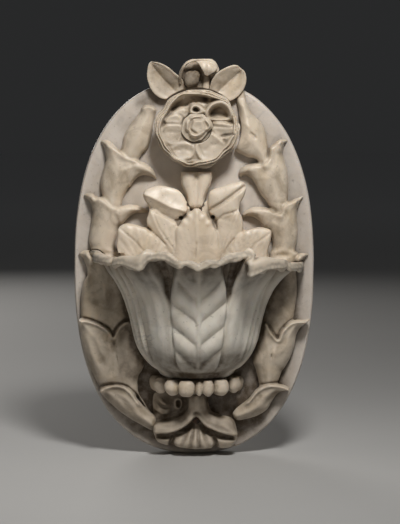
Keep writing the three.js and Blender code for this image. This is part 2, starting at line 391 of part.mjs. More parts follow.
// ---- rose, its heart and its calyx stem ----------------------------------------
const roseRoom = solid(new THREE.CylinderGeometry(1, 1, 80, 48).scale(ROSE.rx + 0.8, 1, ROSE.rz + 0.8).translate(ROSE.x, -(RELIEF + 30), ROSE.z));
const stemShape = [[-4.4, 57.2], [-5.2, 61], [-8.4, 67.5], [-9.5, 71], [-12.8, 79], [-14.4, 87], [-14, 97], [17, 97], [17, 87], [15.5, 79], [11.5, 71], [10.2, 67.5], [6.8, 61], [6.2, 57.2]];
const stemOutline = stemShape.map(([x, z], i) => [x + (i < 7 ? -0.45 : 0.45), z - (z < 58 ? 0.45 : 0)]);
const stem = cut(union(CALYX.map((l) => leaf(l))).intersect(slabOf(stemShape, 0, 300)).intersect(block(-100, 100, 0, 300, STEM.bottom, STEM.top)), socket("stem_dowel"));
piece("rose_stem", biggest(stem), marble);

const dish = new THREE.LatheGeometry([[0, RELIEF + GAP], [26, RELIEF + GAP], [33, 34], [40, 42], [ROSE.rx - 0.6, 50], [ROSE.rx - 2.5, 56], [37, 55], [29, 47], [16, 44], [0, 44]].map(([r, d]) => new THREE.Vector2(r, -d)), 28);
{
  const p = dish.getAttribute("position");
  for (let i = 0; i < p.count; i++) {
    const [x, z] = [p.getX(i), p.getZ(i)];
    const a = Math.atan2(z, x);
    const k = 1 - 0.025 * (1 - Math.cos(7 * a)) * Math.min(1, Math.hypot(x, z) / 40);
    p.setXYZ(i, ROSE.x + x * k, p.getY(i), ROSE.z + z * k * (ROSE.rz / ROSE.rx));
  }
}
const cups = [24, 86, 148, 205, 258, 318].map((deg, i) => {
  const a = (deg * Math.PI) / 180;
  const g = new THREE.SphereGeometry(1, 7, 5).scale(12.5, 6, 10.5).rotateY(-a + Math.PI / 2);
  return solid(g.translate(ROSE.x + 23.5 * Math.cos(a), -(46.5 + (i % 2)), ROSE.z + 22.5 * Math.sin(a)));
});
const heartRoom = rod(ROSE.x, ROSE.z, HEART_R + GAP, HEART_SEAT, 90, 20);
piece("rose", biggest(cut(union([solid(dish), ...cups]), [heartRoom, ...socket("rose_pin")])), marble);
const heart = solid(new THREE.LatheGeometry([[0, HEART_SEAT + GAP], [HEART_R, HEART_SEAT + GAP], [HEART_R, 51], [12.6, 55.5], [10, 54.5], [8.2, 54], [6.4, 57], [0, 58]].map(([r, d]) => new THREE.Vector2(r, -d)), 20).translate(ROSE.x, 0, ROSE.z));
piece("rose_heart", cut(heart, socket("rose_pin")), marble);

// ---- leaf spray on the ledge of the basin ------------------------------------------
const sprayLeaves = Object.values(SPRAY);
const sprayCore = [[-62, -11.7], [-66, 20], [-46, 38], [-12, 56], [15, 56], [49, 38], [68, 20], [65, -11.7]];
const spray = cut(union([slabOf(sprayCore, RELIEF, 41), ...sprayLeaves.map((l) => leaf(l))]).intersect(block(-200, 200, RELIEF, 300, LEDGE_Z + GAP, 200)), [
  slabOf(stemOutline, 0, 80),
  bell(BASIN_OUT, 0.5).subtract(bell(BASIN_IN, -0.5)).subtract(block(AXIS_X - 79.7, AXIS_X + 79.7, 0, 39.3, LEDGE_Z, 60)),
  ...socket("spray_dowel"),
]);
piece("leaf_spray", biggest(spray), marblePale);

// ---- crest -----------------------------------------------------------------------
const crestL = cut(leaf(CREST_LEFT, { round: 2 }), [roseRoom, ...socket("crest_dowel_left")]);
const crestR = cut(leaf(CREST_RIGHT, { round: 2 }), [roseRoom, ...socket("crest_dowel_right")]);
piece("crest_leaf_left", biggest(crestL), marble);
piece("crest_leaf_right", biggest(crestR), marble);
const bud = solid(new THREE.SphereGeometry(7, 10, 8).translate(-3.8, -37, 186));
const curl = cut(union([...CREST_CURL.map((l) => leaf(l)), bud]), [roseRoom, leaf(CREST_LEFT, { round: 2, grow: 0.05 }), leaf(CREST_RIGHT, { round: 2, grow: 0.05 }), ...socket("crest_dowel_center")]);
piece("crest_curl", biggest(curl), marble);

// ---- garlands ----------------------------------------------------------------------
const inside = slabOf(oval(0.4, 96), RELIEF, 120);
const neighbours = [
  bell(BASIN_OUT, 1),
  bell(BASIN_OUT, 1, 1.6),
  roseRoom,
  slabOf(stemOutline, 0, 80),
  ...[...sprayLeaves, CREST_LEFT, CREST_RIGHT].map((l) => leaf(l, { nt: 5, grow: 0.06 })),
  ...FOOT_LEAVES.map((l) => leaf(l, { nt: 5, grow: 0.2 })),
  slabOf(sprayCore.map(([x, z]) => [x * 1.01, z]), 20, 42),
  block(-46, -38, 20, 60, -161, -150),
];
for (const [side, husks] of [["left", HUSKS_LEFT], ["right", HUSKS_RIGHT]]) {
  const chain = union(husks.map((h) => husk(h))).intersect(inside);
  piece("garland_" + side, biggest(cut(chain, [...neighbours, ...socket("garland_pin_" + side + "_upper", "garland_pin_" + side + "_lower")])), marble);
}

// ---- dowels and pins ----------------------------------------------------------------
for (const [name, x, z, r, d0, d1] of DOWELS) piece(name, rod(x, z, r, d0, d1), iron);

// the middle of the slab's back is the origin
stoup.position.set(-SLAB_X, 0, -SLAB_Z);

export default stoup;
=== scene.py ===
import math

import bmesh
import bpy
import numpy as np
import openvdb as vdb
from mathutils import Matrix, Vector


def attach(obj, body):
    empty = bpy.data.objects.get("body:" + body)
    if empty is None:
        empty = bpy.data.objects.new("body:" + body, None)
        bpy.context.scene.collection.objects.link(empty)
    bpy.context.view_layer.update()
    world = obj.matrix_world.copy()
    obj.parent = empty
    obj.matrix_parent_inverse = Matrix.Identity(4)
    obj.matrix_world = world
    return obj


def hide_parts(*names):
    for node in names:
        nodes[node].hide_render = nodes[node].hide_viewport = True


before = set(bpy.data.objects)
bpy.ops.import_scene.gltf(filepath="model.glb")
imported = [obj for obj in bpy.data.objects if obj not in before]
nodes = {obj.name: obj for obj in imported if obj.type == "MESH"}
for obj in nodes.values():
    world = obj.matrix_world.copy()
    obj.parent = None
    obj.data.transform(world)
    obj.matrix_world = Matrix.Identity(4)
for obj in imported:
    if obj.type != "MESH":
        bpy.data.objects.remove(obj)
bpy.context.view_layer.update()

# Holy water stoup in pale marble. The carving is shaped in millimetres as
# (x, depth in front of the back plane, z) and turned into metres at the end.
AXIS_X = 1.5
BASIN_BACK = 24.8
FLOOR = 23.3
SLAB_A, SLAB_B, SLAB_FULL = 120.2, 187.5, 2.38  # half width, half height and fullness of the oval
SLAB_X, SLAB_Z = -1.0, -2.0  # middle of the slab as carved; it becomes the origin


# ------------------------------------------------------------------ measures
def photo(u, v, d):
    """Point seen at image position (u, v) that lies at depth d, as x, depth, z."""
    e = math.radians(5.0)
    # camera 2 m from the slab's front plane, one pixel per millimetre there
    cx, cd, cz = 5.0, 23.0 + 2000.0 * math.cos(e), 4.4 + 2000.0 * math.sin(e)
    rx = (u - 200.0) / 2000.0
    ry = -(v - 262.0) / 2000.0
    fd, fz = -math.cos(e), -math.sin(e)
    ud, uz = -math.sin(e), math.cos(e)
    vd, vz = fd + ry * ud, fz + ry * uz
    k = (d - cd) / vd
    return [cx + k * rx, d, cz + k * vz]


# Leaves: one edge, midrib, other edge.
LEAVES = dict(
    centre=dict(c1=[(-14.7, -10.1, 50), (-21.6, 14, 54), (-22.5, 28.8, 54), (-18.6, 44.5, 53), (-8.8, 55.9, 53), (0.1, 59.9, 54)],
        cm=[(2, -11.7, 54), (2.1, 14.8, 63), (1.6, 37.4, 64), (1.1, 60.2, 56)],
        c2=[(19.8, -10.1, 50), (24.7, 14, 54), (26.6, 28.8, 54), (21.7, 45.5, 53), (11.9, 55.9, 53), (2.1, 59.9, 54)]),
    left_inner=dict(c1=[(-26.7, -9.9, 42), (-36.5, 13.2, 44), (-44.4, 28.1, 45), (-47.3, 42, 45), (-46.3, 52.9, 45), (-43.3, 56.4, 46)],
        cm=[(-14.8, -11.5, 46), (-24.5, 16.9, 53), (-34.3, 38.6, 53), (-41.8, 57, 47)],
        c2=[(-4.9, -9.5, 46), (-11.8, 18.6, 50), (-16.7, 36.4, 50), (-25.6, 50.1, 48), (-34.4, 57, 47), (-40.4, 57.4, 46)]),
    right_inner=dict(c1=[(9.9, -9.5, 46), (15.8, 18.6, 50), (20.8, 36.4, 50), (26.7, 49.1, 48), (34.6, 58.9, 47), (45.4, 64.3, 46)],
        cm=[(18.8, -11.5, 46), (30.6, 18.9, 53), (39.4, 38.6, 53), (47.4, 63.9, 47)],
        c2=[(32.8, -9.9, 42), (44.6, 12.2, 44), (48.5, 25.2, 45), (50.4, 40, 45), (51.4, 53.9, 45), (49.4, 62.8, 46)]),
    left_outer=dict(c1=[(-59.6, -10.2, 38), (-70.4, 5.8, 39), (-75.3, 15.8, 40), (-77.2, 27.8, 40), (-76.6, 37.8, 41), (-74.2, 40.7, 41)],
        cm=[(-44.6, -14, 40), (-51.3, 10.5, 47), (-61.1, 28.3, 47), (-72.1, 41.8, 42)],
        c2=[(-26.7, -13.8, 42), (-29.6, 10.4, 46), (-34.5, 25.2, 46), (-44.4, 37, 44), (-57.3, 42.3, 42), (-69.2, 42.2, 41)]),
    right_outer=dict(c1=[(30.8, -13.8, 42), (33.7, 10.4, 46), (37.6, 24.3, 46), (47.5, 35, 44), (60.4, 40.8, 42), (71.3, 40.7, 41)],
        cm=[(46.7, -14, 40), (53.4, 10.5, 47), (63.2, 27.3, 47), (74.2, 39.8, 42)],
        c2=[(62.6, -10.2, 38), (72.5, 5.8, 39), (75.4, 17.8, 40), (76.3, 27.8, 40), (75.8, 35.8, 41), (74.8, 38.8, 41)]),
    upper_left=dict(c1=[(-16.8, 53.3, 36), (-29.7, 52.4, 37), (-40.6, 57.3, 37), (-47.5, 64.3, 37), (-50.9, 70.2, 37), (-51.4, 74.2, 37)],
        cm=[(-8.9, 56.4, 38), (-24.6, 66.6, 43), (-38.5, 73.5, 42), (-50.4, 76.2, 38)],
        c2=[(-6.9, 65.2, 36), (-13.8, 75.2, 38), (-22.7, 80.2, 38), (-32.6, 81.7, 38), (-43.5, 81.7, 38), (-48.4, 79.1, 37)]),
    upper_right=dict(c1=[(10, 65.2, 36), (15.9, 75.2, 38), (24.8, 79.7, 38), (34.7, 82.2, 38), (44.6, 82.7, 38), (48.5, 81.1, 37)],
        cm=[(10.9, 56.4, 38), (26.7, 66.6, 43), (39.6, 73.5, 42), (51, 80.2, 38)],
        c2=[(18.9, 51.3, 36), (30.8, 50.4, 37), (40.7, 56.3, 37), (46.6, 65.3, 37), (50.5, 73.2, 37), (51.5, 78.2, 37)]),
    calyx_l=dict(c1=[(-5.9, 54.4, 37), (-8.9, 71.2, 37), (-12.3, 79.2, 38), (-13.8, 87.1, 38), (-13.3, 96.1, 39)],
        cm=[(-0.9, 53.6, 41), (-3.9, 71.6, 44), (-6.8, 83.4, 44), (-10.8, 99.1, 40)],
        c2=[(3, 54.6, 41), (2, 71.6, 44), (2, 81.4, 42), (-1.9, 89.2, 40), (-7.8, 99, 39)]),
    calyx_r=dict(c1=[(-0.9, 54.6, 41), (0.1, 71.6, 44), (1.1, 81.4, 42), (4, 89.2, 40), (9.9, 99, 39)],
        cm=[(3, 53.6, 41), (6, 71.6, 44), (9.9, 83.4, 44), (13.9, 99.1, 40)],
        c2=[(8, 54.4, 37), (10.9, 71.2, 37), (14.9, 79.2, 38), (16.4, 87.1, 38), (16.4, 97, 39)]),
    crest_left=dict(c1=[(-24.7, 165.9, 30), (-34.6, 167.9, 31), (-42.4, 174.8, 32), (-46.8, 185.6, 33), (-47.3, 193.5, 33), (-45.8, 201.3, 34)],
        cm=[(-14.8, 170.8, 30), (-26.6, 181.7, 31), (-35.5, 191.5, 32), (-44.3, 203.3, 34)],
        c2=[(-8.8, 177.7, 30), (-12.8, 186.6, 34), (-19.6, 192.5, 36), (-26.5, 198.4, 36), (-34.4, 202.3, 35), (-42.3, 203.8, 34)]),
    crest_right=dict(c1=[(13.9, 175.8, 32), (16.8, 185.6, 36), (21.7, 192.5, 37), (29.6, 197.4, 37), (37.5, 200.3, 36), (42.4, 199.8, 35)],
        cm=[(18.9, 169.9, 30), (28.7, 179.7, 32), (38.6, 188.6, 33), (46.9, 195.9, 34)],
        c2=[(26.8, 163.9, 30), (37.6, 165.9, 31), (46.5, 173.8, 32), (50.4, 182.7, 33), (50.4, 190.5, 34), (47.9, 195.9, 34)]),
)


# ------------------------------------------------------------------- carving
def smooth(a, b, x):
    t = np.clip((x - a) / (b - a), 0, 1)
    return t * t * (3 - 2 * t)


def bump(x, c, w):
    return np.exp(-(((x - c) / w) ** 2))


def cr(points, t):
    """Curve through the points."""
    p = np.asarray(points, float)
    n = len(p) - 1
    q = np.vstack([2 * p[0] - p[1], p, 2 * p[-1] - p[-2]])
    u = np.clip(np.asarray(t, float), 0, 1) * n
    i = np.minimum(u.astype(int), n - 1)
    f = (u - i)[..., None]
    a, b, c, d = q[i], q[i + 1], q[i + 2], q[i + 3]
    return 0.5 * (2 * b + (c - a) * f + (2 * a - 5 * b + 4 * c - d) * f**2 + (3 * b - a - 3 * c + d) * f**3)


def even_curve(x, y, s):
    """Curve through y at x, for each column, that doesn't overshoot."""
    h = np.diff(x)[:, None]
    k = np.diff(y, axis=0) / h
    w1, w2 = 2 * h[1:] + h[:-1], h[1:] + 2 * h[:-1]
    same = k[:-1] * k[1:] > 0
    a, b = np.where(same, k[:-1], 1), np.where(same, k[1:], 1)
    d = np.vstack([k[:1], np.where(same, (w1 + w2) / (w1 / a + w2 / b), 0), k[-1:]])
    i = np.clip(np.searchsorted(x, s, side="right") - 1, 0, len(x) - 2)
    t = ((s - x[i]) / np.diff(x)[i])[:, None]
    return (2 * t**3 - 3 * t**2 + 1) * y[i] + (t**3 - 2 * t**2 + t) * h[i] * d[i] + (3 * t**2 - 2 * t**3) * y[i + 1] + (t**3 - t**2) * h[i] * d[i + 1]


def shell_faces(n, m):
    """Faces of a closed sheet: an n x m grid on top and one below."""
    k = np.arange(n * m).reshape(n, m)
    b = k + n * m
    top = np.stack([k[:-1, :-1], k[:-1, 1:], k[1:, 1:], k[1:, :-1]], -1).reshape(-1, 4)
    bot = np.stack([b[:-1, :-1], b[1:, :-1], b[1:, 1:], b[:-1, 1:]], -1).reshape(-1, 4)
    sides = []
    for e in (k[0, :], k[-1, :], k[:, 0], k[:, -1]):
        sides.append(np.stack([e[:-1], e[1:], e[1:] + n * m, e[:-1] + n * m], -1))
    return np.vstack([top, bot, *sides]).astype(np.uint32)


def leaf(c1, cm, c2, lo=None, li=None, det=None, rnd=2.6, low=FLOOR - 0.6, thick=None, edge=None, ns=41, nt=61):
    """Carved leaf between two edge curves, over a middle line; points are x, z, depth."""
    t = np.linspace(0, 1, nt)
    s = np.linspace(-1, 1, ns)
    a, b, c = cr(c1, t), cr(cm, t), cr(c2, t)
    near = np.linalg.norm(a - c, axis=1) < 1.6
    a[near, 0] -= 0.8
    c[near, 0] += 0.8
    half, bow = (c - a) / 2, (a + c) / 2 - b
    T, S = np.meshgrid(t, s, indexing="ij")
    R = S if edge is None else S * edge(T, S)
    f = np.stack([R**2, R**2, np.abs(S) ** rnd], -1)
    p = b[:, None] + half[:, None] * np.stack([R, R, S], -1) + bow[:, None] * f
    for lip, sign in ((lo, -1), (li, 1)):
        if lip is None:
            continue
        x, y = (a[-1], c[-1]) if sign < 0 else (c[-1], a[-1])
        mid = 0.75 * b[-1] + 0.375 * x - 0.125 * y
        w = np.where(S * sign > 0, 4 * np.abs(S) * (1 - np.abs(S)) * T**2, 0)
        p[..., 0] += (lip[0] - mid[0]) * w
        p[..., 1] += (lip[1] - mid[1]) * w
    if det is not None:
        p[..., 2] += det(T, S)
    q = p.copy()
    q[..., 2] = low if thick is None else np.maximum(low, p[..., 2] - thick(T, S))
    q[..., 2] = np.minimum(q[..., 2], p[..., 2] - 0.8)
    v = np.vstack([p.reshape(-1, 3), q.reshape(-1, 3)])
    return v[:, [0, 2, 1]], shell_faces(nt, ns)


def tube(points, radii, n=16, flat=1.0):
    """Round rope through points (x, depth, z) with a radius at each."""
    m = max(12, 6 * len(points))
    t = np.linspace(0, 1, m)
    p = cr(points, t)
    r = cr(np.asarray(radii, float)[:, None], t)[:, 0]
    d = np.gradient(p, axis=0)
    d /= np.linalg.norm(d, axis=1)[:, None] + 1e-9
    up = np.array([0.0, 1.0, 0.0])
    side = np.cross(d, up)
    side /= np.linalg.norm(side, axis=1)[:, None] + 1e-9
    nor = np.cross(side, d)
    a = np.linspace(0, 2 * np.pi, n, endpoint=False)
    v = p[:, None] + r[:, None, None] * (np.cos(a)[None, :, None] * side[:, None] + flat * np.sin(a)[None, :, None] * nor[:, None])
    k = np.arange(m * n).reshape(m, n)
    j = np.roll(k, -1, 1)
    f = [np.stack([k[:-1], j[:-1], j[1:], k[1:]], -1).reshape(-1, 4)]
    h = n // 2
    for ring in (k[0], k[-1]):
        f.append(np.array([[ring[i], ring[i + 1], ring[n - 2 - i], ring[n - 1 - i]] for i in range(h - 1)]))
    return v.reshape(-1, 3), np.vstack(f).astype(np.uint32)


def ball(c, r, n=20):
    """Egg with centre (x, depth, z) and radii."""
    r = np.broadcast_to(np.asarray(r, float), (3,))
    t = np.linspace(0.02, np.pi - 0.02, n)
    a = np.linspace(0, 2 * np.pi, 2 * n, endpoint=False)
    v = np.stack([np.sin(t)[:, None] * np.cos(a), np.sin(t)[:, None] * np.sin(a), np.cos(t)[:, None] * np.ones_like(a)], -1)
    v = v * r + np.asarray(c, float)
    k = np.arange(n * 2 * n).reshape(n, 2 * n)
    j = np.roll(k, -1, 1)
    f = [np.stack([k[:-1], j[:-1], j[1:], k[1:]], -1).reshape(-1, 4)]
    for ring in (k[0], k[-1]):
        f.append(np.array([[ring[i], ring[i + 1], ring[2 * n - 2 - i], ring[2 * n - 1 - i]] for i in range(n - 1)]))
    return v.reshape(-1, 3), np.vstack(f).astype(np.uint32)


def block(lo, hi):
    x, d, z = zip(lo, hi)
    v = np.array([[x[i], d[j], z[k]] for i in (0, 1) for j in (0, 1) for k in (0, 1)], float)
    f = [[0, 1, 3, 2], [4, 6, 7, 5], [0, 4, 5, 1], [2, 3, 7, 6], [0, 2, 6, 4], [1, 5, 7, 3]]
    return v, np.array(f, np.uint32)


def smin(a, b, k):
    if k <= 0:
        return np.minimum(a, b)
    h = np.clip(0.5 + 0.5 * (b - a) / k, 0, 1)
    return b + (a - b) * h - k * h * (1 - h)


class Stone:
    """A block of stone held as distances on a grid: solids are added and cut away."""

    BAND = 6

    def __init__(self, lo, hi, h):
        self.h = h
        self.i0 = np.floor(np.array(lo) / h).astype(int) - 3
        n = np.ceil(np.array(hi) / h).astype(int) + 4 - self.i0
        self.a = np.full(n, self.BAND * h, np.float32)
        ax = [(np.arange(n[i]) + self.i0[i]) * h for i in range(3)]
        self.x, self.d, self.z = ax[0][:, None, None], ax[1][None, :, None], ax[2][None, None, :]

    def field(self, solid):
        v, f = solid
        h = self.h
        lo = np.maximum(np.floor(v.min(0) / h).astype(int) - 7, self.i0)
        hi = np.minimum(np.ceil(v.max(0) / h).astype(int) + 8, self.i0 + self.a.shape)
        if (hi <= lo).any():
            return None, None
        g = vdb.FloatGrid.createLevelSetFromPolygons(np.ascontiguousarray(v, np.float32), quads=np.ascontiguousarray(f), transform=vdb.createLinearTransform(voxelSize=h), halfWidth=float(self.BAND))
        a = np.empty(hi - lo, np.float32)
        g.copyToArray(a, ijk=tuple(int(i) for i in lo))
        return a, tuple(slice(l - i, e - i) for l, e, i in zip(lo, hi, self.i0))

    def add(self, solid, k=0.0):
        a, s = self.field(solid)
        if a is not None:
            self.a[s] = smin(self.a[s], a, k)
        return self

    def cut(self, solid, k=0.0):
        a, s = self.field(solid)
        if a is not None:
            self.a[s] = -smin(-self.a[s], a, k)
        return self

    def keep(self, f):
        self.a = np.maximum(self.a, f).astype(np.float32)
        return self

    def quads(self, level=0.0):
        bg = self.BAND * self.h
        a = np.clip(self.a - level, -bg, bg).astype(np.float32)
        a[[0, -1]] = a[:, [0, -1]] = bg
        a[:, :, [0, -1]] = bg
        g = vdb.FloatGrid(bg)
        g.copyFromArray(a, ijk=tuple(int(i) for i in self.i0))
        g.transform = vdb.createLinearTransform(voxelSize=self.h)
        v, q = g.convertToQuads(0.0)
        return np.array(v, float), np.array(q, np.int64)

    def offset(self, r):
        """Grows (r > 0) or shrinks the stone."""
        v, q = self.quads(max(r, -self.BAND * self.h * 0.8) if r < 0 else 0.0)
        a, s = self.field((v, q.astype(np.uint32)))
        self.a[:] = self.BAND * self.h
        self.a[s] = a - (0.0 if r < 0 else r)
        return self

    def soften(self, r):
        """Rounds off the sharp edges."""
        self.offset(-r)
        self.a -= r
        return self

    def fill(self, r):
        """Rounds out the sharp corners."""
        v, q = self.quads(r)
        a, s = self.field((v, q.astype(np.uint32)))
        self.a[:] = self.BAND * self.h
        self.a[s] = a + r
        return self

    def mesh(self):
        return main_body(*self.quads())


def main_body(v, q):
    """Drops loose crumbs: keeps the bodies of some size."""
    label = np.arange(len(v))
    while True:
        m = label[q].min(1)
        new = label.copy()
        for k in range(4):
            np.minimum.at(new, q[:, k], m)
        new = new[new]
        if (new == label).all():
            break
        label = new
    ids, inverse, count = np.unique(label, return_inverse=True, return_counts=True)
    keep = (count >= max(600, 0.04 * len(v)))[inverse]
    if keep.all():
        return v, q
    index = np.cumsum(keep) - 1
    return v[keep], index[q[keep[q[:, 0]]]]


def normals(v, q):
    n = np.cross(v[q[:, 2]] - v[q[:, 0]], v[q[:, 3]] - v[q[:, 1]])
    out = np.stack([np.bincount(q.ravel(), np.repeat(n[:, i], 4), len(v)) for i in range(3)], 1)
    return out / (np.linalg.norm(out, axis=1)[:, None] + 1e-12)


def relax(v, q, rounds, amount=0.5):
    e = np.vstack([q[:, [i, (i + 1) % 4]] for i in range(4)])
    deg = np.bincount(e[:, 0], minlength=len(v)) + np.bincount(e[:, 1], minlength=len(v)) + 1e-9
    for _ in range(rounds):
        for w in (amount, -amount * 1.02):
            avg = np.stack([np.bincount(e[:, 0], v[e[:, 1], i], len(v)) + np.bincount(e[:, 1], v[e[:, 0], i], len(v)) for i in range(3)], 1) / deg[:, None]
            v = v + w * (avg - v)
    return v


_lattice = np.random.default_rng(7).random((32, 32, 32)) * 2 - 1


def noise(p, size, shift=0.0):
    """Smooth uneven values between about -1 and 1."""
    q = p / size + shift
    i = np.floor(q).astype(int)
    f = q - i
    f = f * f * (3 - 2 * f)
    i %= 32
    j = (i + 1) % 32
    r = 0
    for a in (0, 1):
        for b in (0, 1):
            for c in (0, 1):
                w = (f[:, 0] if a else 1 - f[:, 0]) * (f[:, 1] if b else 1 - f[:, 1]) * (f[:, 2] if c else 1 - f[:, 2])
                r = r + w * _lattice[(j if a else i)[:, 0], (j if b else i)[:, 1], (j if c else i)[:, 2]]
    return r


SHAPES = {}


def stone(name, solid, slot, replaces=None, uneven=0.22, rounds=2):
    v, q = solid
    v = relax(v, q, rounds)
    n = normals(v, q)
    wob = 0.6 * noise(v, 9.0, 3.1) + 0.4 * noise(v, 4.0, 11.7)
    inner = np.clip((v[:, 1] - FLOOR) / 1.5, 0, 1)[:, None]
    v = v + n * (uneven * wob)[:, None] * inner
    SHAPES[name] = (v, q, slot, replaces or [name])


def lathe(profile, n=144):
    """Turned solid about the basin's axis; profile is radius, z from bottom to top, both ends near the axis."""
    p = np.asarray(profile, float).copy()
    p[0, 0] = p[-1, 0] = 0.2
    a = np.linspace(0, 2 * np.pi, n, endpoint=False)
    v = np.stack([AXIS_X + p[:, :1] * np.sin(a), BASIN_BACK + p[:, :1] * np.cos(a), p[:, 1:] * np.ones_like(a)], -1)
    k = np.arange(len(p) * n).reshape(len(p), n)
    j = np.roll(k, -1, 1)
    f = [np.stack([k[:-1], j[:-1], j[1:], k[1:]], -1).reshape(-1, 4)]
    h = n // 2
    for ring in (k[0], k[-1]):
        f.append(np.array([[ring[i], ring[i + 1], ring[n - 2 - i], ring[n - 1 - i]] for i in range(h - 1)]))
    return v.reshape(-1, 3), np.vstack(f).astype(np.uint32)


def slit(points, d, r=0.8, deep=4.0):
    """Narrow drilled groove along image points at about depth d."""
    p = [photo(u, v, d) for u, v in points]
    rad = [0.25 * r] + [r] * (len(p) - 2) + [0.25 * r] if len(p) > 2 else [r, 0.4 * r]
    return tube(p, rad, 12, deep / r)


# Outline of the basin's bell, radius against z, for the room the garlands leave.
BELL_Z = [-109, -102, -97, -89, -72, -50, -29, -11, 1, 4, 12, 17]
BELL_R = [20, 41, 48.5, 55, 62.5, 68.5, 74.5, 85, 98, 106, 106, 103]


# ------------------------------------------------------------------ garlands
def oval_inside(x, z, inset):
    """Below zero inside the slab's oval."""
    f = (np.abs((x - SLAB_X) / (SLAB_A - inset)) ** SLAB_FULL + np.abs((z - SLAB_Z) / (SLAB_B - inset)) ** SLAB_FULL) ** (1 / SLAB_FULL)
    return (f - 1) * 130


def garland(side, parts, lines, pits, hollow=None):
    """A chain of husks from the top down. A husk has its outline, the line of its mouth, the depths of its body and lip
    and how sharply the lip stands off; a horn has its outline, its crest and its depth."""
    sign = -1 if side == "left" else 1
    g = Stone((28 if sign > 0 else -122, FLOOR - 1, -178), (120 if sign > 0 else -26, 48, 180), 0.8)
    r = Relief(g, FLOOR + 1.0, parts[0][1], 38.0)
    for part in parts[1:]:
        r.e = np.maximum(r.e, r.inside(part[1]))
    for kind, outline, line, *how in parts:
        far, along = r.near(line)
        if kind == "husk":
            body, lip, sharp = how
            r.line(line, 1.4 if sharp > 2 else 2.4, -sharp, 0.06)
            edge = 28.0 + (lip - 29.0) * np.exp(-((far / 5.0) ** 2))
            r.lay(outline, edge, body + (lip - body) * np.exp(-((far / 13.0) ** 2)), 6.0, 1.2 if sharp > 2 else 3.0)
        else:
            r.lay(outline, 28.5, how[0] - 2.0, 4.2, 2.6, 2.4 * np.exp(-((far / 3.6) ** 2)) - 6.5 * smooth(0.3, 1.0, along))
    if hollow:
        r.sink(hollow, 29.0, 9.0)
    for points, width, by in lines:
        r.line(points, width, by, 0.3)
    r.blur = 1.3
    r.carve(([23, 27, 31, 60], [1.4, 0.9, 0.0, 0.0]))
    for pts, d, rad, deep in pits:
        g.cut(slit(pts, d, rad, deep), 0.6)
    g.keep(oval_inside(g.x, g.z, 0.5)).keep(FLOOR - g.d)
    rho = np.hypot(g.x - AXIS_X, g.d - BASIN_BACK)
    bell = np.interp(g.z.ravel(), BELL_Z, BELL_R)[None, None, :] - 2.0 - 9.0 * smooth(-34, -14, g.z)
    g.keep(np.where((g.z < 3) & (g.z > -108), (bell - rho) * 0.85, -9))
    f, s = g.field(SHAPES["basin_carved"][:2])
    g.a[s] = np.maximum(g.a[s], 0.6 - f)
    rose = 1 - np.sqrt(((g.x - 2.1) / 43.8) ** 2 + ((g.z - 137.8) / 41.1) ** 2)
    g.keep(rose * 42)
    stone("garland_" + side + "_carved", g.mesh(), "marble", ["garland_" + side], uneven=0.3)


# --------------------------------------------------------------------- basin
# The bowl's side is one ruffled sheet. Radius and z of its outer face on the
# petals and in the gaps between them, from the foot up to below the lip.
FLANK = [(22, -106.8), (36, -104), (44.5, -100), (51, -94), (56, -86.5), (60, -77), (63, -66), (66.2, -52), (70.3, -37), (73.5, -28), (78, -18.5), (84, -9), (90, -1.5)]
GAP = [(22, -106.8), (36, -104), (44.5, -100), (51, -94), (56, -86.5), (60, -77), (63, -66), (66.2, -52), (69.6, -37), (70.4, -28), (71.2, -18.5), (73, -9), (76.5, 0)]
FAN = [0, 0, 0, 0, 0, 0, 0, 0, 0, 0.05, 0.2, 0.42, 0.65, 0.86, 1, 1, 1]
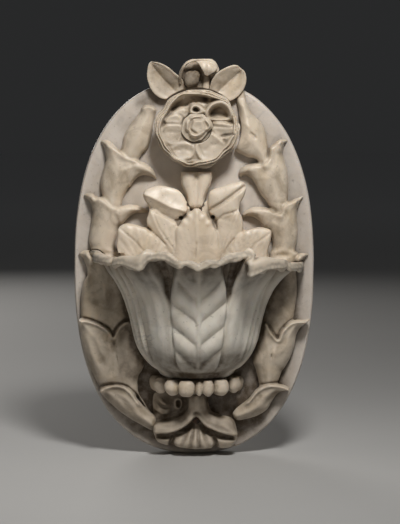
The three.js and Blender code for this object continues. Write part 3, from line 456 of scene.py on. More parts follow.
# Ribs from left to right: bearing low down and at the lip, radius and z of the
# lip's edge, radius and z of the top of its roll, share of gap.
RIBS = [
    (-100, -99, 104, 3.1, 100.5, 7.5, 0), (-94, -95, 105, 3.5, 101, 9.5, 0), (-90, -91, 105.6, 4.4, 101, 11.1, 0), (-86.5, -87, 104, 10, 100, 12.7, 0.15),
    (-84, -83.5, 101.5, 12, 98.5, 13.2, 0.3), (-81, -79.5, 101, 12.1, 98, 12.8, 0.3), (-77, -75, 103, 9.4, 99.5, 11.4, 0), (-72, -69, 103.8, 8.3, 100, 11.3, 0),
    (-66, -62, 103.8, 8.3, 100, 10.8, 0), (-60, -55, 103.2, 7.8, 99.5, 9.2, 0), (-57, -52.5, 99, 9.8, 96, 10.4, 0.25), (-54, -50.8, 101, 8.2, 97, 9.6, 0.1),
    (-51, -49.5, 103.4, 6.3, 98.5, 10.8, 0), (-45, -44.5, 103.8, 8.3, 98.5, 12.7, 0), (-38, -39, 103.8, 7.8, 98.5, 13.3, 0), (-31.5, -34.5, 103.8, 6, 98.5, 14.6, 0),
    (-26.5, -31.2, 103.6, 4.6, 98.5, 17.3, 0), (-24.2, -29.6, 101.5, 9.4, 97.5, 19.7, 0.3), (-23.2, -28, 98.5, 13.6, 95, 20.1, 0.7), (-22.6, -25.5, 96.5, 14.6, 92.5, 16.9, 1),
    (-22.1, -22.5, 95.5, 14.9, 91.5, 17.6, 1), (-21.6, -19, 95.5, 14.6, 91.5, 17.8, 1), (-21.1, -15.5, 96, 13.3, 92.5, 16.5, 1), (-20.6, -12.6, 97.5, 11, 94.5, 13.8, 0.9),
    (-19.8, -10.6, 100, 9.3, 97, 10.8, 0.5), (-17.5, -8.6, 102, 9.2, 99, 9.8, 0), (-11, -5.4, 102.4, 9.9, 99.4, 10.5, 0), (-5, -1.6, 102.4, 8.9, 99.3, 9.5, 0),
    (1.75, 1.75, 102.2, 6.3, 99, 6.9, 0), (7, 4.8, 102.4, 9.1, 99.3, 11, 0), (13, 7.6, 102.4, 10, 99.3, 11.1, 0), (19, 10.4, 102.2, 9.9, 98.8, 10.5, 0),
    (22.3, 12.2, 101, 8.6, 98, 9.2, 0.1), (23.6, 13.8, 98.5, 9.7, 95, 10.8, 0.55), (24.2, 16, 96, 12.1, 92, 13.7, 1), (24.6, 19.8, 95, 14.1, 90, 16.3, 1),
    (25.1, 24.5, 94.6, 15.1, 89, 16.9, 1), (25.6, 29, 94.8, 15.3, 89.5, 17.1, 1), (26, 32.2, 95.4, 14.9, 90.5, 17.1, 1), (26.5, 34, 96.5, 13, 92, 16.3, 0.9),
    (27, 33, 98.5, 7.9, 94.5, 14.5, 0.5), (27.8, 30.6, 100, 2.5, 96.5, 11.4, 0.15), (29.5, 29.8, 101.4, -1.2, 97, 9.6, 0), (32, 32.6, 102.6, 0.3, 97.5, 10.4, 0),
    (35.5, 36, 103, 2.4, 98, 11.8, 0), (39.5, 40, 103.4, 4.7, 98.5, 12.4, 0), (45, 46, 103.4, 4.6, 98.5, 11.1, 0), (51, 52.5, 103.4, 4, 98.5, 8.6, 0),
    (54.5, 56, 102.6, 4.3, 98.5, 7.1, 0), (57.5, 58.5, 98.5, 5.6, 95.5, 7.6, 0.3), (60.5, 61, 98.5, 4.8, 95.5, 6.3, 0.3), (63.5, 64.5, 102.5, 1.1, 99, 2.5, 0),
    (70, 71, 103.8, 0.3, 100.5, 1.9, 0), (79, 81, 104.4, -0.4, 101, 1.3, 0), (88, 89, 104.4, -1, 101, 1.4, 0), (94, 95, 103.5, -0.3, 100, 2, 0),
    (100, 100, 102.5, -1, 99, 1.3, 0),
]
MIDRIB = 1.75
SEAMS = (-21.6, 25.1)


def bowl_relief(a, r, z):
    """How far the carving stands off the plain side, by bearing low down, radius and z."""
    half = (SEAMS[1] - SEAMS[0]) / 2
    s = np.abs(a - MIDRIB) / half
    middle = smooth(1.06, 0.96, s)
    side = np.radians(np.abs(a - MIDRIB)) * r
    rise = z - 0.8 * side
    lobes = 0
    marks = (-116.0, -95.0, -74.0, -51.0, -29.0, -8.0)
    for g0, g1 in zip(marks[:-1], marks[1:]):
        f = (rise - g0) / (g1 - g0)
        lobes = lobes + np.where((f > 0) & (f < 1), np.sin(np.pi * np.clip(f, 0, 1)) ** 0.8 - 0.65, 0)
    fade = smooth(0.4, 4.0, side) * smooth(1.0, 0.86, s) * smooth(2, -16, z) * smooth(-104, -92, z)
    o = middle * (3.3 * lobes * fade + 0.9 * bump(side, 0, 1.4) * smooth(-100, -80, z))
    o = o + middle * 0.9 * smooth(-98, -80, z) * smooth(-5, -25, z)
    for c in SEAMS:
        o = o - 2.2 * bump(a, c, 1.5) * smooth(-102, -90, z) * smooth(-6, -24, z)
    out = smooth(1.0, 1.35, s)
    o = o + out * (0.8 * np.cos(np.radians(a) * 11.0 + 0.6) * smooth(-98, -60, z) * smooth(4, -14, z) + 0.3 * np.cos(np.radians(a) * 33.0) * smooth(-90, -50, z))
    up = smooth(-96, -70, z)
    for c, deep, w in ((-55, 3.6, 2.0), (-61.5, 3.3, 1.8), (-69, 3.9, 2.0), (-78, 3.6, 2.2), (56, 3.6, 2.0), (62.5, 3.3, 1.8), (70, 3.9, 2.0), (78.5, 3.6, 2.2)):
        o = o + up * deep * (0.6 * bump(a, c - 3.4, 1.7 * w) - bump(a, c, w))
    return o


def sheet_half(z):
    """Half the sheet's thickness: thinner at the lips."""
    return 1.7 - 0.15 * smooth(-10, 4, z)


def bowl_sheet():
    """The ruffled side as a thin closed sheet through the middle of its thickness."""
    ribs = np.array(RIBS, float)
    low, lip, re, ze, rt, zt, gap = ribs.T
    flank, hollow = np.array(FLANK, float), np.array(GAP, float)
    pts = []
    for i in range(len(ribs)):
        body = flank * (1 - gap[i]) + hollow * gap[i]
        r12, z12 = body[-1]
        z_lift = min(0.0, zt[i] - 9.5) * 0.55
        body = body + np.outer(np.interp(np.arange(13), [8, 12], [0, 1]), [0, z_lift])
        z12 = body[-1, 1]
        top = [(rt[i] - 0.45 * (rt[i] - r12), zt[i] - 0.3 * (zt[i] - z12)), (rt[i], zt[i]), (rt[i] + 0.65 * (re[i] - rt[i]), zt[i] + 0.25 * (ze[i] - zt[i])), (re[i], ze[i])]
        rz = np.vstack([body, top])
        a = low[i] + (lip[i] - low[i]) * np.array(FAN)
        pts.append(np.column_stack([a, rz, np.full(17, low[i]), np.full(17, gap[i])]))
    pts = np.array(pts)
    # even steps along the lip and along the foot together
    step = np.hypot(np.radians(np.diff(low)) * 70, np.linalg.norm(np.diff(np.column_stack([np.radians(lip) * 100, re, ze]), axis=0), axis=1))
    u = np.concatenate([[0], np.cumsum(step)])
    n, m = 560, 150
    s = np.linspace(0, u[-1], n)
    flat = even_curve(u, pts.reshape(len(ribs), -1), s)
    k = np.exp(-((np.arange(-4, 5) / 2.0) ** 2))
    k /= k.sum()
    pad = np.vstack([np.repeat(flat[:1], 4, 0), flat, np.repeat(flat[-1:], 4, 0)])
    flat = sum(k[i] * pad[i : i + n] for i in range(9))
    cols = flat.reshape(n, 17, 5)
    t = np.linspace(0, 1, m)
    grid = np.stack([cr(c, t) for c in cols])  # n, m, (bearing, r, z, low bearing)
    a, r, z, lowb, hollowed = np.moveaxis(grid, -1, 0)
    dr, dz = np.gradient(r, axis=1), np.gradient(z, axis=1)
    length = np.hypot(dr, dz) + 1e-9
    nr, nz = dz / length, -dr / length
    lip_part = smooth(0.8, 0.9, t)[None, :]
    off = bowl_relief(lowb, r, z) * (1 - lip_part)
    off = off + 0.7 * smooth(0.5, 1, hollowed) * np.cos(2 * np.pi * (a - MIDRIB) / 5.2) * smooth(-24, -8, z) * smooth(0.93, 0.8, t)[None, :]
    off = off - 1.3 * bump(t, 0.93, 0.025)[None, :]
    half = sheet_half(z)
    out = []
    for o in (off - half, off - half - 0.8):
        rr, zz = r + nr * o, z + nz * o
        b = np.radians(a)
        out.append(np.stack([AXIS_X + rr * np.sin(b), BASIN_BACK + rr * np.cos(b), zz], -1).reshape(-1, 3))
    b = np.radians(a[:, -1])
    edge = np.stack([AXIS_X + r[:, -1] * np.sin(b), BASIN_BACK + r[:, -1] * np.cos(b), z[:, -1]], -1)
    return (np.vstack(out), shell_faces(n, m)), edge


LIP = []


def basin():
    b = Stone((-108, BASIN_BACK - 1, -111), (110, 131, 26), 0.85)
    sheet, edge = bowl_sheet()
    a, s = b.field(sheet)
    b.a[s] = np.minimum(b.a[s], np.abs(a) - sheet_half(b.z[:, :, s[2]]))
    b.add(lathe([(0, -108.9), (34, -108.9), (37, -107), (39.5, -103), (43.5, -98.8), (49, -92), (54.5, -80), (58.5, -62), (61.5, -46), (65, -30), (68, -16), (71, -6), (74, 2), (77, 9), (74, 11), (0, 11)]), 0.6)
    # rolled and slightly frilled lip
    i = np.arange(0, len(edge), 6)
    lip = edge[i] + np.outer(0.9 * np.sin(1.1 * i / 6) + 0.6 * np.sin(2.3 * i / 6 + 1), [0, 0, 1])
    b.add(tube(lip, 2.0 + 0.6 * np.sin(0.7 * i / 6) + 0.4 * np.sin(1.9 * i / 6), 12), 0.9)
    LIP.append(lip)
    # curl at the right petal's corner
    b.add(tube([photo(245.5, 257.5, 106), photo(246, 252.5, 103), photo(249, 249.8, 101), photo(252.5, 252, 102), photo(254.5, 256.5, 104)], [1.5, 2.0, 2.2, 2.1, 1.8], 14), 1.4)
    b.add(ball(photo(249.6, 254, 99), (3.4, 2.4, 3.0)), 1.2)
    c, s = b.field(lathe([(0, -66), (38, -62), (47, -55), (52.5, -45), (56, -32), (60.5, -18), (66, -6), (69.5, 2), (73.5, 9), (78, 15), (86, 28), (0, 28)]))
    x, d, z = b.x[s[0]], b.d[:, s[1]], b.z[:, :, s[2]]
    c = np.maximum(c, BASIN_BACK + 14 - d)
    b.a[s] = np.maximum(b.a[s], -c)
    b.keep(BASIN_BACK - b.d).keep(b.d - 129.3)
    ledge = np.maximum(np.maximum(np.abs(b.x - AXIS_X) - 80, b.d - BASIN_BACK - 14.3), -12 - b.z)
    b.keep(-ledge)
    stone("basin_carved", b.mesh(), "marble_pale", ["basin"], uneven=0.3)


basin()


# ------------------------------------------------------------- beaded collar
def collar():
    c = Stone((-50, FLOOR - 1, -127), (53, 72, -107), 0.7)
    core = lathe([(0, -125), (28, -124.6), (33.5, -119), (35, -113), (35, -109.6), (0, -109.6)], 96)
    c.add(core)
    rng = np.random.default_rng(3)
    for deg, ring, r, tip in ((-88, 40, 6.4, 0), (-62, 40.5, 6.2, 0), (-36, 40.8, 7.2, 0.5), (-13.5, 41, 7.4, 1), (3.8, 37.5, 3.9, 0), (16.3, 40.5, 5.2, 1), (36, 40.8, 7.4, 0.3), (65.5, 40.5, 6.2, 0), (88, 40, 6.4, 0)):
        a = math.radians(deg)
        x, d = AXIS_X + ring * math.sin(a), FLOOR + ring * math.cos(a)
        v, q = ball((0, 0, 0), (1, 1, 1))
        v = v / (np.hypot(v[:, :1], v[:, 1:2]) ** 2.3 + np.abs(v[:, 2:]) ** 2.3) ** (1 / 2.3)  # a barrel
        long = 8.2 if r > 4.5 else 6.6
        v = v * (1.14 * r, 1.06 * r, long)
        v = v * (1 + 0.04 * np.sin(3 * np.arctan2(v[:, 1:2], v[:, :1]) + deg) + 0.03 * np.sin(v[:, 2:] * 0.5 + deg))
        v[:, 2] += rng.uniform(-0.1, 0.14) * v[:, 0]
        c.add((v + (x, d, -116.6 + rng.uniform(-0.5, 0.5)), q), 0.9)
        c.add(ball((x + 0.3, d + 0.8, -122.4), (r * 0.55, r * 0.6, 2.6 + 0.4 * tip)), 1.6)
    c.keep(FLOOR - c.d).keep(-125.2 - c.z).keep(c.z + 109.6)
    stone("bead_collar_carved", c.mesh(), "marble", ["bead_collar"], uneven=0.35)


collar()


def seen(points):
    """Image points (u, v, depth) as x, z, depth."""
    out = []
    for u, v, d in points:
        x, d, z = photo(u, v, d)
        out.append((x, z, d))
    return out


# ------------------------------------------------------------- foot pendant
def sd_poly(x, z, poly):
    """Signed distance to a closed outline, negative inside."""
    p = np.asarray(poly, float)
    best = np.full(np.broadcast(x, z).shape, 1e9)
    inside = np.zeros(best.shape, bool)
    for a, b in zip(p, np.roll(p, -1, 0)):
        ex, ez = b - a
        wx, wz = x - a[0], z - a[1]
        t = np.clip((wx * ex + wz * ez) / (ex * ex + ez * ez + 1e-12), 0, 1)
        best = np.minimum(best, (wx - ex * t) ** 2 + (wz - ez * t) ** 2)
        if abs(ez) > 1e-12:
            crosses = (a[1] > z) != (b[1] > z)
            inside ^= crosses & (wx < ex * wz / ez)
    return np.where(inside, -1, 1) * np.sqrt(best)


def closed(points, n=72):
    p = np.asarray(points, float)
    m = len(p)
    u = np.linspace(0, m, n, endpoint=False)
    i = u.astype(int)
    f = (u - i)[:, None]
    a, b, c, d = p[(i - 1) % m], p[i % m], p[(i + 1) % m], p[(i + 2) % m]
    return 0.5 * (2 * b + (c - a) * f + (2 * a - 5 * b + 4 * c - d) * f**2 + (3 * b - a - 3 * c + d) * f**3)


class Relief:
    """Front face of a stone, as depth over x and z, carved from outlines given in image positions."""

    def __init__(self, stone, base, outline, d):
        self.s, self.d, self.blur = stone, d, 0.9
        self.X, self.Z = stone.x[:, 0, 0][:, None], stone.z[0, 0, :][None, :]
        self.e = self.inside(outline)
        self.top = base + 0 * self.e

    def at(self, points, d=None):
        return [(p[0], p[2]) for p in (photo(u, v, self.d if d is None else d) for u, v in points)]

    def inside(self, points):
        return -sd_poly(self.X, self.Z, closed(self.at(points), 5 * len(points)))

    def near(self, points):
        """Distance to a line and how far along it, 0 to 1."""
        q = np.asarray(self.at(points))
        best, along = np.full(self.e.shape, 1e9), np.zeros(self.e.shape)
        for i, (a, b) in enumerate(zip(q[:-1], q[1:])):
            t = np.clip(((self.X - a[0]) * (b - a)[0] + (self.Z - a[1]) * (b - a)[1]) / ((b - a) @ (b - a)), 0, 1)
            r = np.hypot(self.X - a[0] - t * (b - a)[0], self.Z - a[1] - t * (b - a)[1])
            along = np.where(r < best, (i + t) / (len(q) - 1), along)
            best = np.minimum(best, r)
        return best, along

    def lay(self, points, edge, middle, reach=6.0, soft=1.0, more=None):
        """A leaf over what is there: depth at its edge and in its middle."""
        s = self.inside(points)
        h = edge + (middle - edge) * (1 - np.exp(-np.clip(s, 0, None) / reach))
        if more is not None:
            h = h + more
        side = smooth(-0.6, soft, s)
        self.top = np.where(s > -0.6, np.maximum(self.top, self.top * (1 - side) + h * side), self.top)

    def sink(self, points, depth, reach=3.0):
        s = self.inside(points)
        w = smooth(-0.4, reach, s)
        self.top = np.where(s > -0.4, np.minimum(self.top, self.top * (1 - w) + depth * w), self.top)

    def line(self, points, width, by, ends=0.12):
        """A groove (by < 0) or ridge along a line, fading at both ends."""
        r, t = self.near(points)
        self.top = self.top + by * np.exp(-((r / width) ** 2)) * smooth(0, ends, t) * smooth(1, 1 - ends, t)

    def carve(self, undercut):
        k = np.exp(-((np.arange(-2, 3) / self.blur) ** 2))
        k /= k.sum()
        for axis in (0, 1):
            q = np.pad(self.top, [(2, 2) if a == axis else (0, 0) for a in (0, 1)], mode="edge")
            n = self.top.shape[axis]
            self.top = sum(k[i] * np.take(q, np.arange(i, i + n), axis) for i in range(5))
        s = self.s
        gx, gz = np.gradient(self.top, s.h)
        slope = np.sqrt(1 + np.minimum(gx**2 + gz**2, 9))
        flare = np.interp(s.d.ravel(), *undercut)[None, :, None]
        s.a = np.maximum(np.maximum((s.d - self.top[:, None, :]) / slope[:, None, :], ((-self.e)[:, None, :] + flare) * 0.9), FLOOR - s.d).astype(np.float32)


def foot():
    f = Stone((-48, FLOOR - 1, -185), (46, 57, -122), 0.7)
    outline = [(186.5, 387), (181, 392), (170, 391.6), (160, 391), (152, 394), (150, 402), (150.4, 411), (151, 418), (152, 424), (152.4, 432), (153.5, 438), (157, 443), (164, 446), (170, 448.5), (178, 449.6), (190, 451), (198, 451.4), (206, 451), (214, 450), (223, 449.5), (231, 448.6), (236, 444), (238, 436), (238, 428), (236, 421.5), (231, 417.5), (222, 415), (213.5, 412), (210, 407), (209.5, 398), (209, 387)]
    r = Relief(f, 29.5, outline, 42.0)
    # under leaves, fan, scoops, column and the two big lobes, from the back to the front
    r.lay([(153.5, 433), (165, 434), (176, 433), (185, 430), (184, 438), (177, 443), (169, 447), (160, 445.5), (155, 441)], 36, 43, 5)
    r.lay([(207, 430), (216, 433), (228, 434), (238, 434), (237, 443), (231, 449), (221, 450), (213, 445)], 36, 44, 5)
    u, v = 195 + (r.X + 0.5) * 0.98, 262 - (r.Z - 6) * 1.0
    spoke = np.degrees(np.arctan2(u - 197, v - 414))
    ribs = 1.2 * np.cos(2 * np.pi * (spoke + 3) / 15.0) * smooth(424, 434, v) - 9.0 * smooth(446, 427, v)
    r.lay([(184, 430), (190, 424), (197, 421), (204, 424), (210, 430), (214, 437), (215, 444), (212, 449.6), (205, 450.6), (195, 451), (185, 450), (177, 448.4), (173.5, 443), (177, 436)], 41, 48, 6, 2.0, ribs)
    for pts in ([(152.4, 402), (155, 410.5), (163, 415), (173, 414.6)], [(155, 403), (159, 409.5), (165, 412), (172, 411.4)], [(158, 398), (161.5, 404), (168, 408.4)]):
        r.line(pts, 1.6, 3.2, 0.3)
    r.top = r.top - 4.5 * smooth(164, 150, u) * smooth(424, 414, v)
    # column and the two big lobes: one draped leaf, soft above and proud along its lower edge
    hem = [(153, 434.6), (160, 434.8), (168, 434.6), (177, 432.4), (185.4, 428), (191.6, 422.8), (196, 418.6), (199, 421.4), (203.6, 426.6), (212, 431.2), (222.4, 435), (235.6, 437.2)]
    skirt = [(186.4, 383), (196, 381), (206.4, 383), (206.6, 396), (208, 405.6), (211.4, 411.6), (218.6, 415), (227.6, 417.2), (233.8, 422), (237.4, 430), (237.2, 436.4)] + hem[::-1][1:] + [(151.8, 431), (152.4, 425.6), (158, 422.4), (168.6, 420.4), (178.6, 416.8), (184.6, 411.6), (186.8, 404.6), (186.8, 396)]
    away, _ = r.near(hem)
    r.lay(skirt, 37.5 + 8.5 * np.exp(-((away / 5.0) ** 2)), 52.5, 7.5, 2.5, -2.0 * smooth(170, 152, u) - 2.0 * smooth(222, 238, u) + 1.2 * np.exp(-((away / 3.0) ** 2)) + 4.2 * smooth(414, 402, v))
    r.line([(195.6, 409), (195.6, 414), (195.8, 421)], 2.2, -1.4, 0.4)
    r.line([(158, 427.5), (170, 426.5), (181, 423), (189, 415.5)], 2.8, -1.6, 0.35)
    r.line([(232, 428.5), (221, 425.5), (211, 421), (203, 413)], 2.8, -1.6, 0.35)
    r.line([(152, 437), (162, 437.6), (172, 437), (182, 434), (189.4, 428.6), (194, 423.5)], 1.4, -4.0, 0.1)
    r.line([(200.4, 424), (204.6, 429.4), (210, 433.6), (222, 437.4), (238, 439.6)], 1.4, -4.0, 0.1)
    r.line([(173.4, 437), (170.5, 444), (169.6, 452)], 1.6, -8.0, 0.1)
    r.line([(214, 437), (216.4, 444), (216.4, 451)], 1.3, -5.0, 0.1)
    r.lay([(207, 398), (212, 397), (216, 401), (217.4, 407), (214, 412), (208.4, 411)], 33, 41, 4, 2.0)
    r.line([(212.4, 400.6), (213.2, 404.4), (212.6, 408.4)], 1.5, -7.0, 0.15)
    # little eye beside the column
    ring, _ = r.near([(178.2, 404), (178.2, 407.4)])
    r.top = r.top + 2.2 * np.exp(-(((ring - 2.9) / 1.1) ** 2)) - 5.5 * np.exp(-((ring / 1.5) ** 2))
    r.blur = 1.6
    r.carve(([23, 28, 33, 38, 42, 46, 60], [2.5, 2.2, 1.2, 0.4, 0, 0, 0]))
    f.keep(FLOOR - f.d).keep(f.z + 125.4)
    f.keep(oval_inside(f.x, f.z, 1.0))
    stone("foot_pendant_carved", f.mesh(), "marble", ["foot_pendant"], uneven=0.3)


foot()


garland(
    "left",
    [
        ("husk", [(140.6, 107), (138.8, 111.6), (132.2, 119.8), (126.7, 127.5), (122.3, 136.2), (120.7, 144), (117, 156), (113, 170), (124, 180), (135, 173), (140, 160), (143, 154.5), (147, 150.5), (151, 142), (153.5, 131), (155, 124), (156.4, 115), (157, 109), (153, 105), (146, 104)], [(140.6, 107), (146, 104), (153, 105), (157, 109)], 38.5, 38.0, 0.3),
        ("husk", [(120.5, 150), (128, 157), (137, 159.5), (143, 162.5), (146, 168), (141, 172), (135, 177.5), (130, 187), (125, 196), (122, 206), (119, 222), (108, 224), (101, 212), (100.5, 197), (98.8, 186), (100, 176), (102.5, 167), (104.3, 160), (104, 153.5), (107, 146), (113, 145)], [(108, 143), (114, 149), (120, 153.5), (128, 158), (137, 160), (143, 162)], 38.5, 39.0, 0.9),
        ("horn", [(98.6, 141), (104, 139), (110, 140.6), (116, 147), (113, 154), (106, 160), (104.3, 154), (102.4, 147.5)], [(113, 150), (107, 144), (100, 141.5)], 38.0),
        ("horn", [(134, 160), (143.5, 161.5), (150, 166), (155, 171.5), (157.6, 179.5), (156, 181.5), (152, 179), (145.5, 176.8), (139, 178), (133.5, 183.5), (129, 189), (125, 180), (127, 167)], [(134, 164.5), (143, 165.6), (149.5, 169.6), (154, 175), (156.6, 180)], 39.5),
        ("husk", [(100, 196.5), (107, 200), (113, 205), (119, 208), (124, 207), (122, 214), (121, 224), (118.8, 228.5), (118, 235), (115.8, 244), (114, 258), (92, 258), (89, 248.5), (87, 241.5), (88.2, 231), (90, 219.6), (91, 211.9), (90, 205.9), (92, 199)], [(96, 196.5), (102, 201), (108, 206), (112.5, 209.5), (119, 206.5)], 38.5, 39.0, 0.9),
        ("horn", [(81.6, 196), (86, 192.7), (92.7, 193.3), (98, 197), (101, 200), (98, 208), (91.4, 212), (90, 205.9), (86, 200.9)], [(98, 202), (91, 197), (83, 196)], 38.0),
        ("horn", [(110, 209.5), (119, 206.4), (127.8, 204.2), (136.6, 204.8), (143.1, 207.5), (149.2, 211), (148.6, 214), (143, 215.2), (136.6, 215.2), (131, 217.4), (126.7, 221.2), (121.8, 226), (116, 224), (110, 216)], [(113, 212), (121, 209), (129, 207.6), (137, 208.2), (144, 210.6), (148.6, 212.6)], 39.5),
        ("husk", [(92, 250), (116, 250), (130, 258), (138, 285), (142, 310), (142, 330), (132, 346), (113, 352), (98, 340), (84, 327), (79.6, 319), (79, 308), (79.4, 298), (80.6, 288.6), (83.6, 280.4), (86.5, 274.5), (86, 266), (88, 257)], [(90, 248), (100, 246), (112, 248)], 39.0, 38.5, 0.3),
        ("horn", [(76.5, 255), (80, 251.5), (86, 249.7), (93, 252), (97, 258), (94, 270), (87, 277), (85.4, 268.6), (81.2, 260.3)], [(93, 262), (87, 254.5), (78.5, 254.4)], 39.0),
        ("husk", [(78.3, 320.5), (84, 319.5), (90, 320.4), (99, 323.5), (107, 328), (112, 333.5), (113.3, 336), (116, 330), (120, 324.5), (126, 321), (133, 320), (142, 321), (143, 335), (145, 352), (145, 365), (142, 373), (138, 380), (138, 394), (130, 404), (116, 400), (104, 394), (98, 387), (92, 376), (86, 362), (81.6, 348), (79, 334)], [(78.3, 320.5), (84, 319.3), (90, 320.4), (99, 323.5), (107, 328), (112, 333.5), (113.3, 336.5), (116, 330), (120, 324.5), (126, 321), (133, 320), (141, 321)], 41.0, 43.5, 5.0),
        ("husk", [(98.8, 392), (103, 387.4), (111, 385), (119, 384.6), (127, 387.6), (133, 393.5), (139, 402), (148, 411), (156, 417.5), (159, 427), (153, 433), (142, 428), (128, 420), (117, 412), (107, 403)], [(98.8, 392), (103, 387.2), (111, 384.6), (119, 384.4), (127, 387.4), (133, 393.3), (139, 402)], 39.5, 43.0, 4.5),
        ("horn", [(136.7, 376), (134.4, 386.6), (136, 396), (143, 407), (150, 418), (152.4, 416), (146.4, 406), (139.8, 395.6), (137.8, 386.6), (139, 377.6)], [(137.8, 378), (136, 386.6), (138, 396), (145, 407), (150, 416)], 36.0),
    ],
    [([(103.5, 280), (104, 290), (104, 302)], 1.8, 1.6), ([(95, 284), (95.5, 298), (96, 314)], 3.0, -1.2), ([(111, 280), (111, 296), (110, 314)], 2.6, -1.0), ([(122, 288), (125, 304), (127, 318)], 3.0, -0.8), ([(109.8, 332), (108.6, 341), (110.4, 352)], 1.8, 2.0), ([(113.6, 338), (114.2, 348), (115.6, 356)], 1.6, -2.2), ([(92, 334), (98, 352), (107, 372)], 3.0, -1.2), ([(85, 330), (91, 352), (101, 374)], 2.4, 1.0), ([(128, 330), (131, 346), (132, 366)], 3.0, -0.9), ([(110, 391), (122, 400), (138, 418)], 2.2, -1.4), ([(119, 390), (130, 401), (143, 417)], 2.0, 1.2), ([(138.9, 110), (139.4, 106), (138.6, 113)], 1.0, -1.5), ([(122, 136), (121.4, 142), (121.4, 150)], 1.2, -3.0)],
    [([(108, 293), (107.5, 299), (108.5, 305)], 41, 0.7, 3), ([(115.5, 352), (116.5, 358), (118.5, 366)], 42, 0.8, 3), ([(110, 371), (113, 376), (116, 379.5)], 38, 0.6, 2), ([(100.6, 193), (101.6, 196.4)], 33, 0.7, 3), ([(118, 228), (118.5, 235), (118, 242)], 32, 0.7, 3)],
)
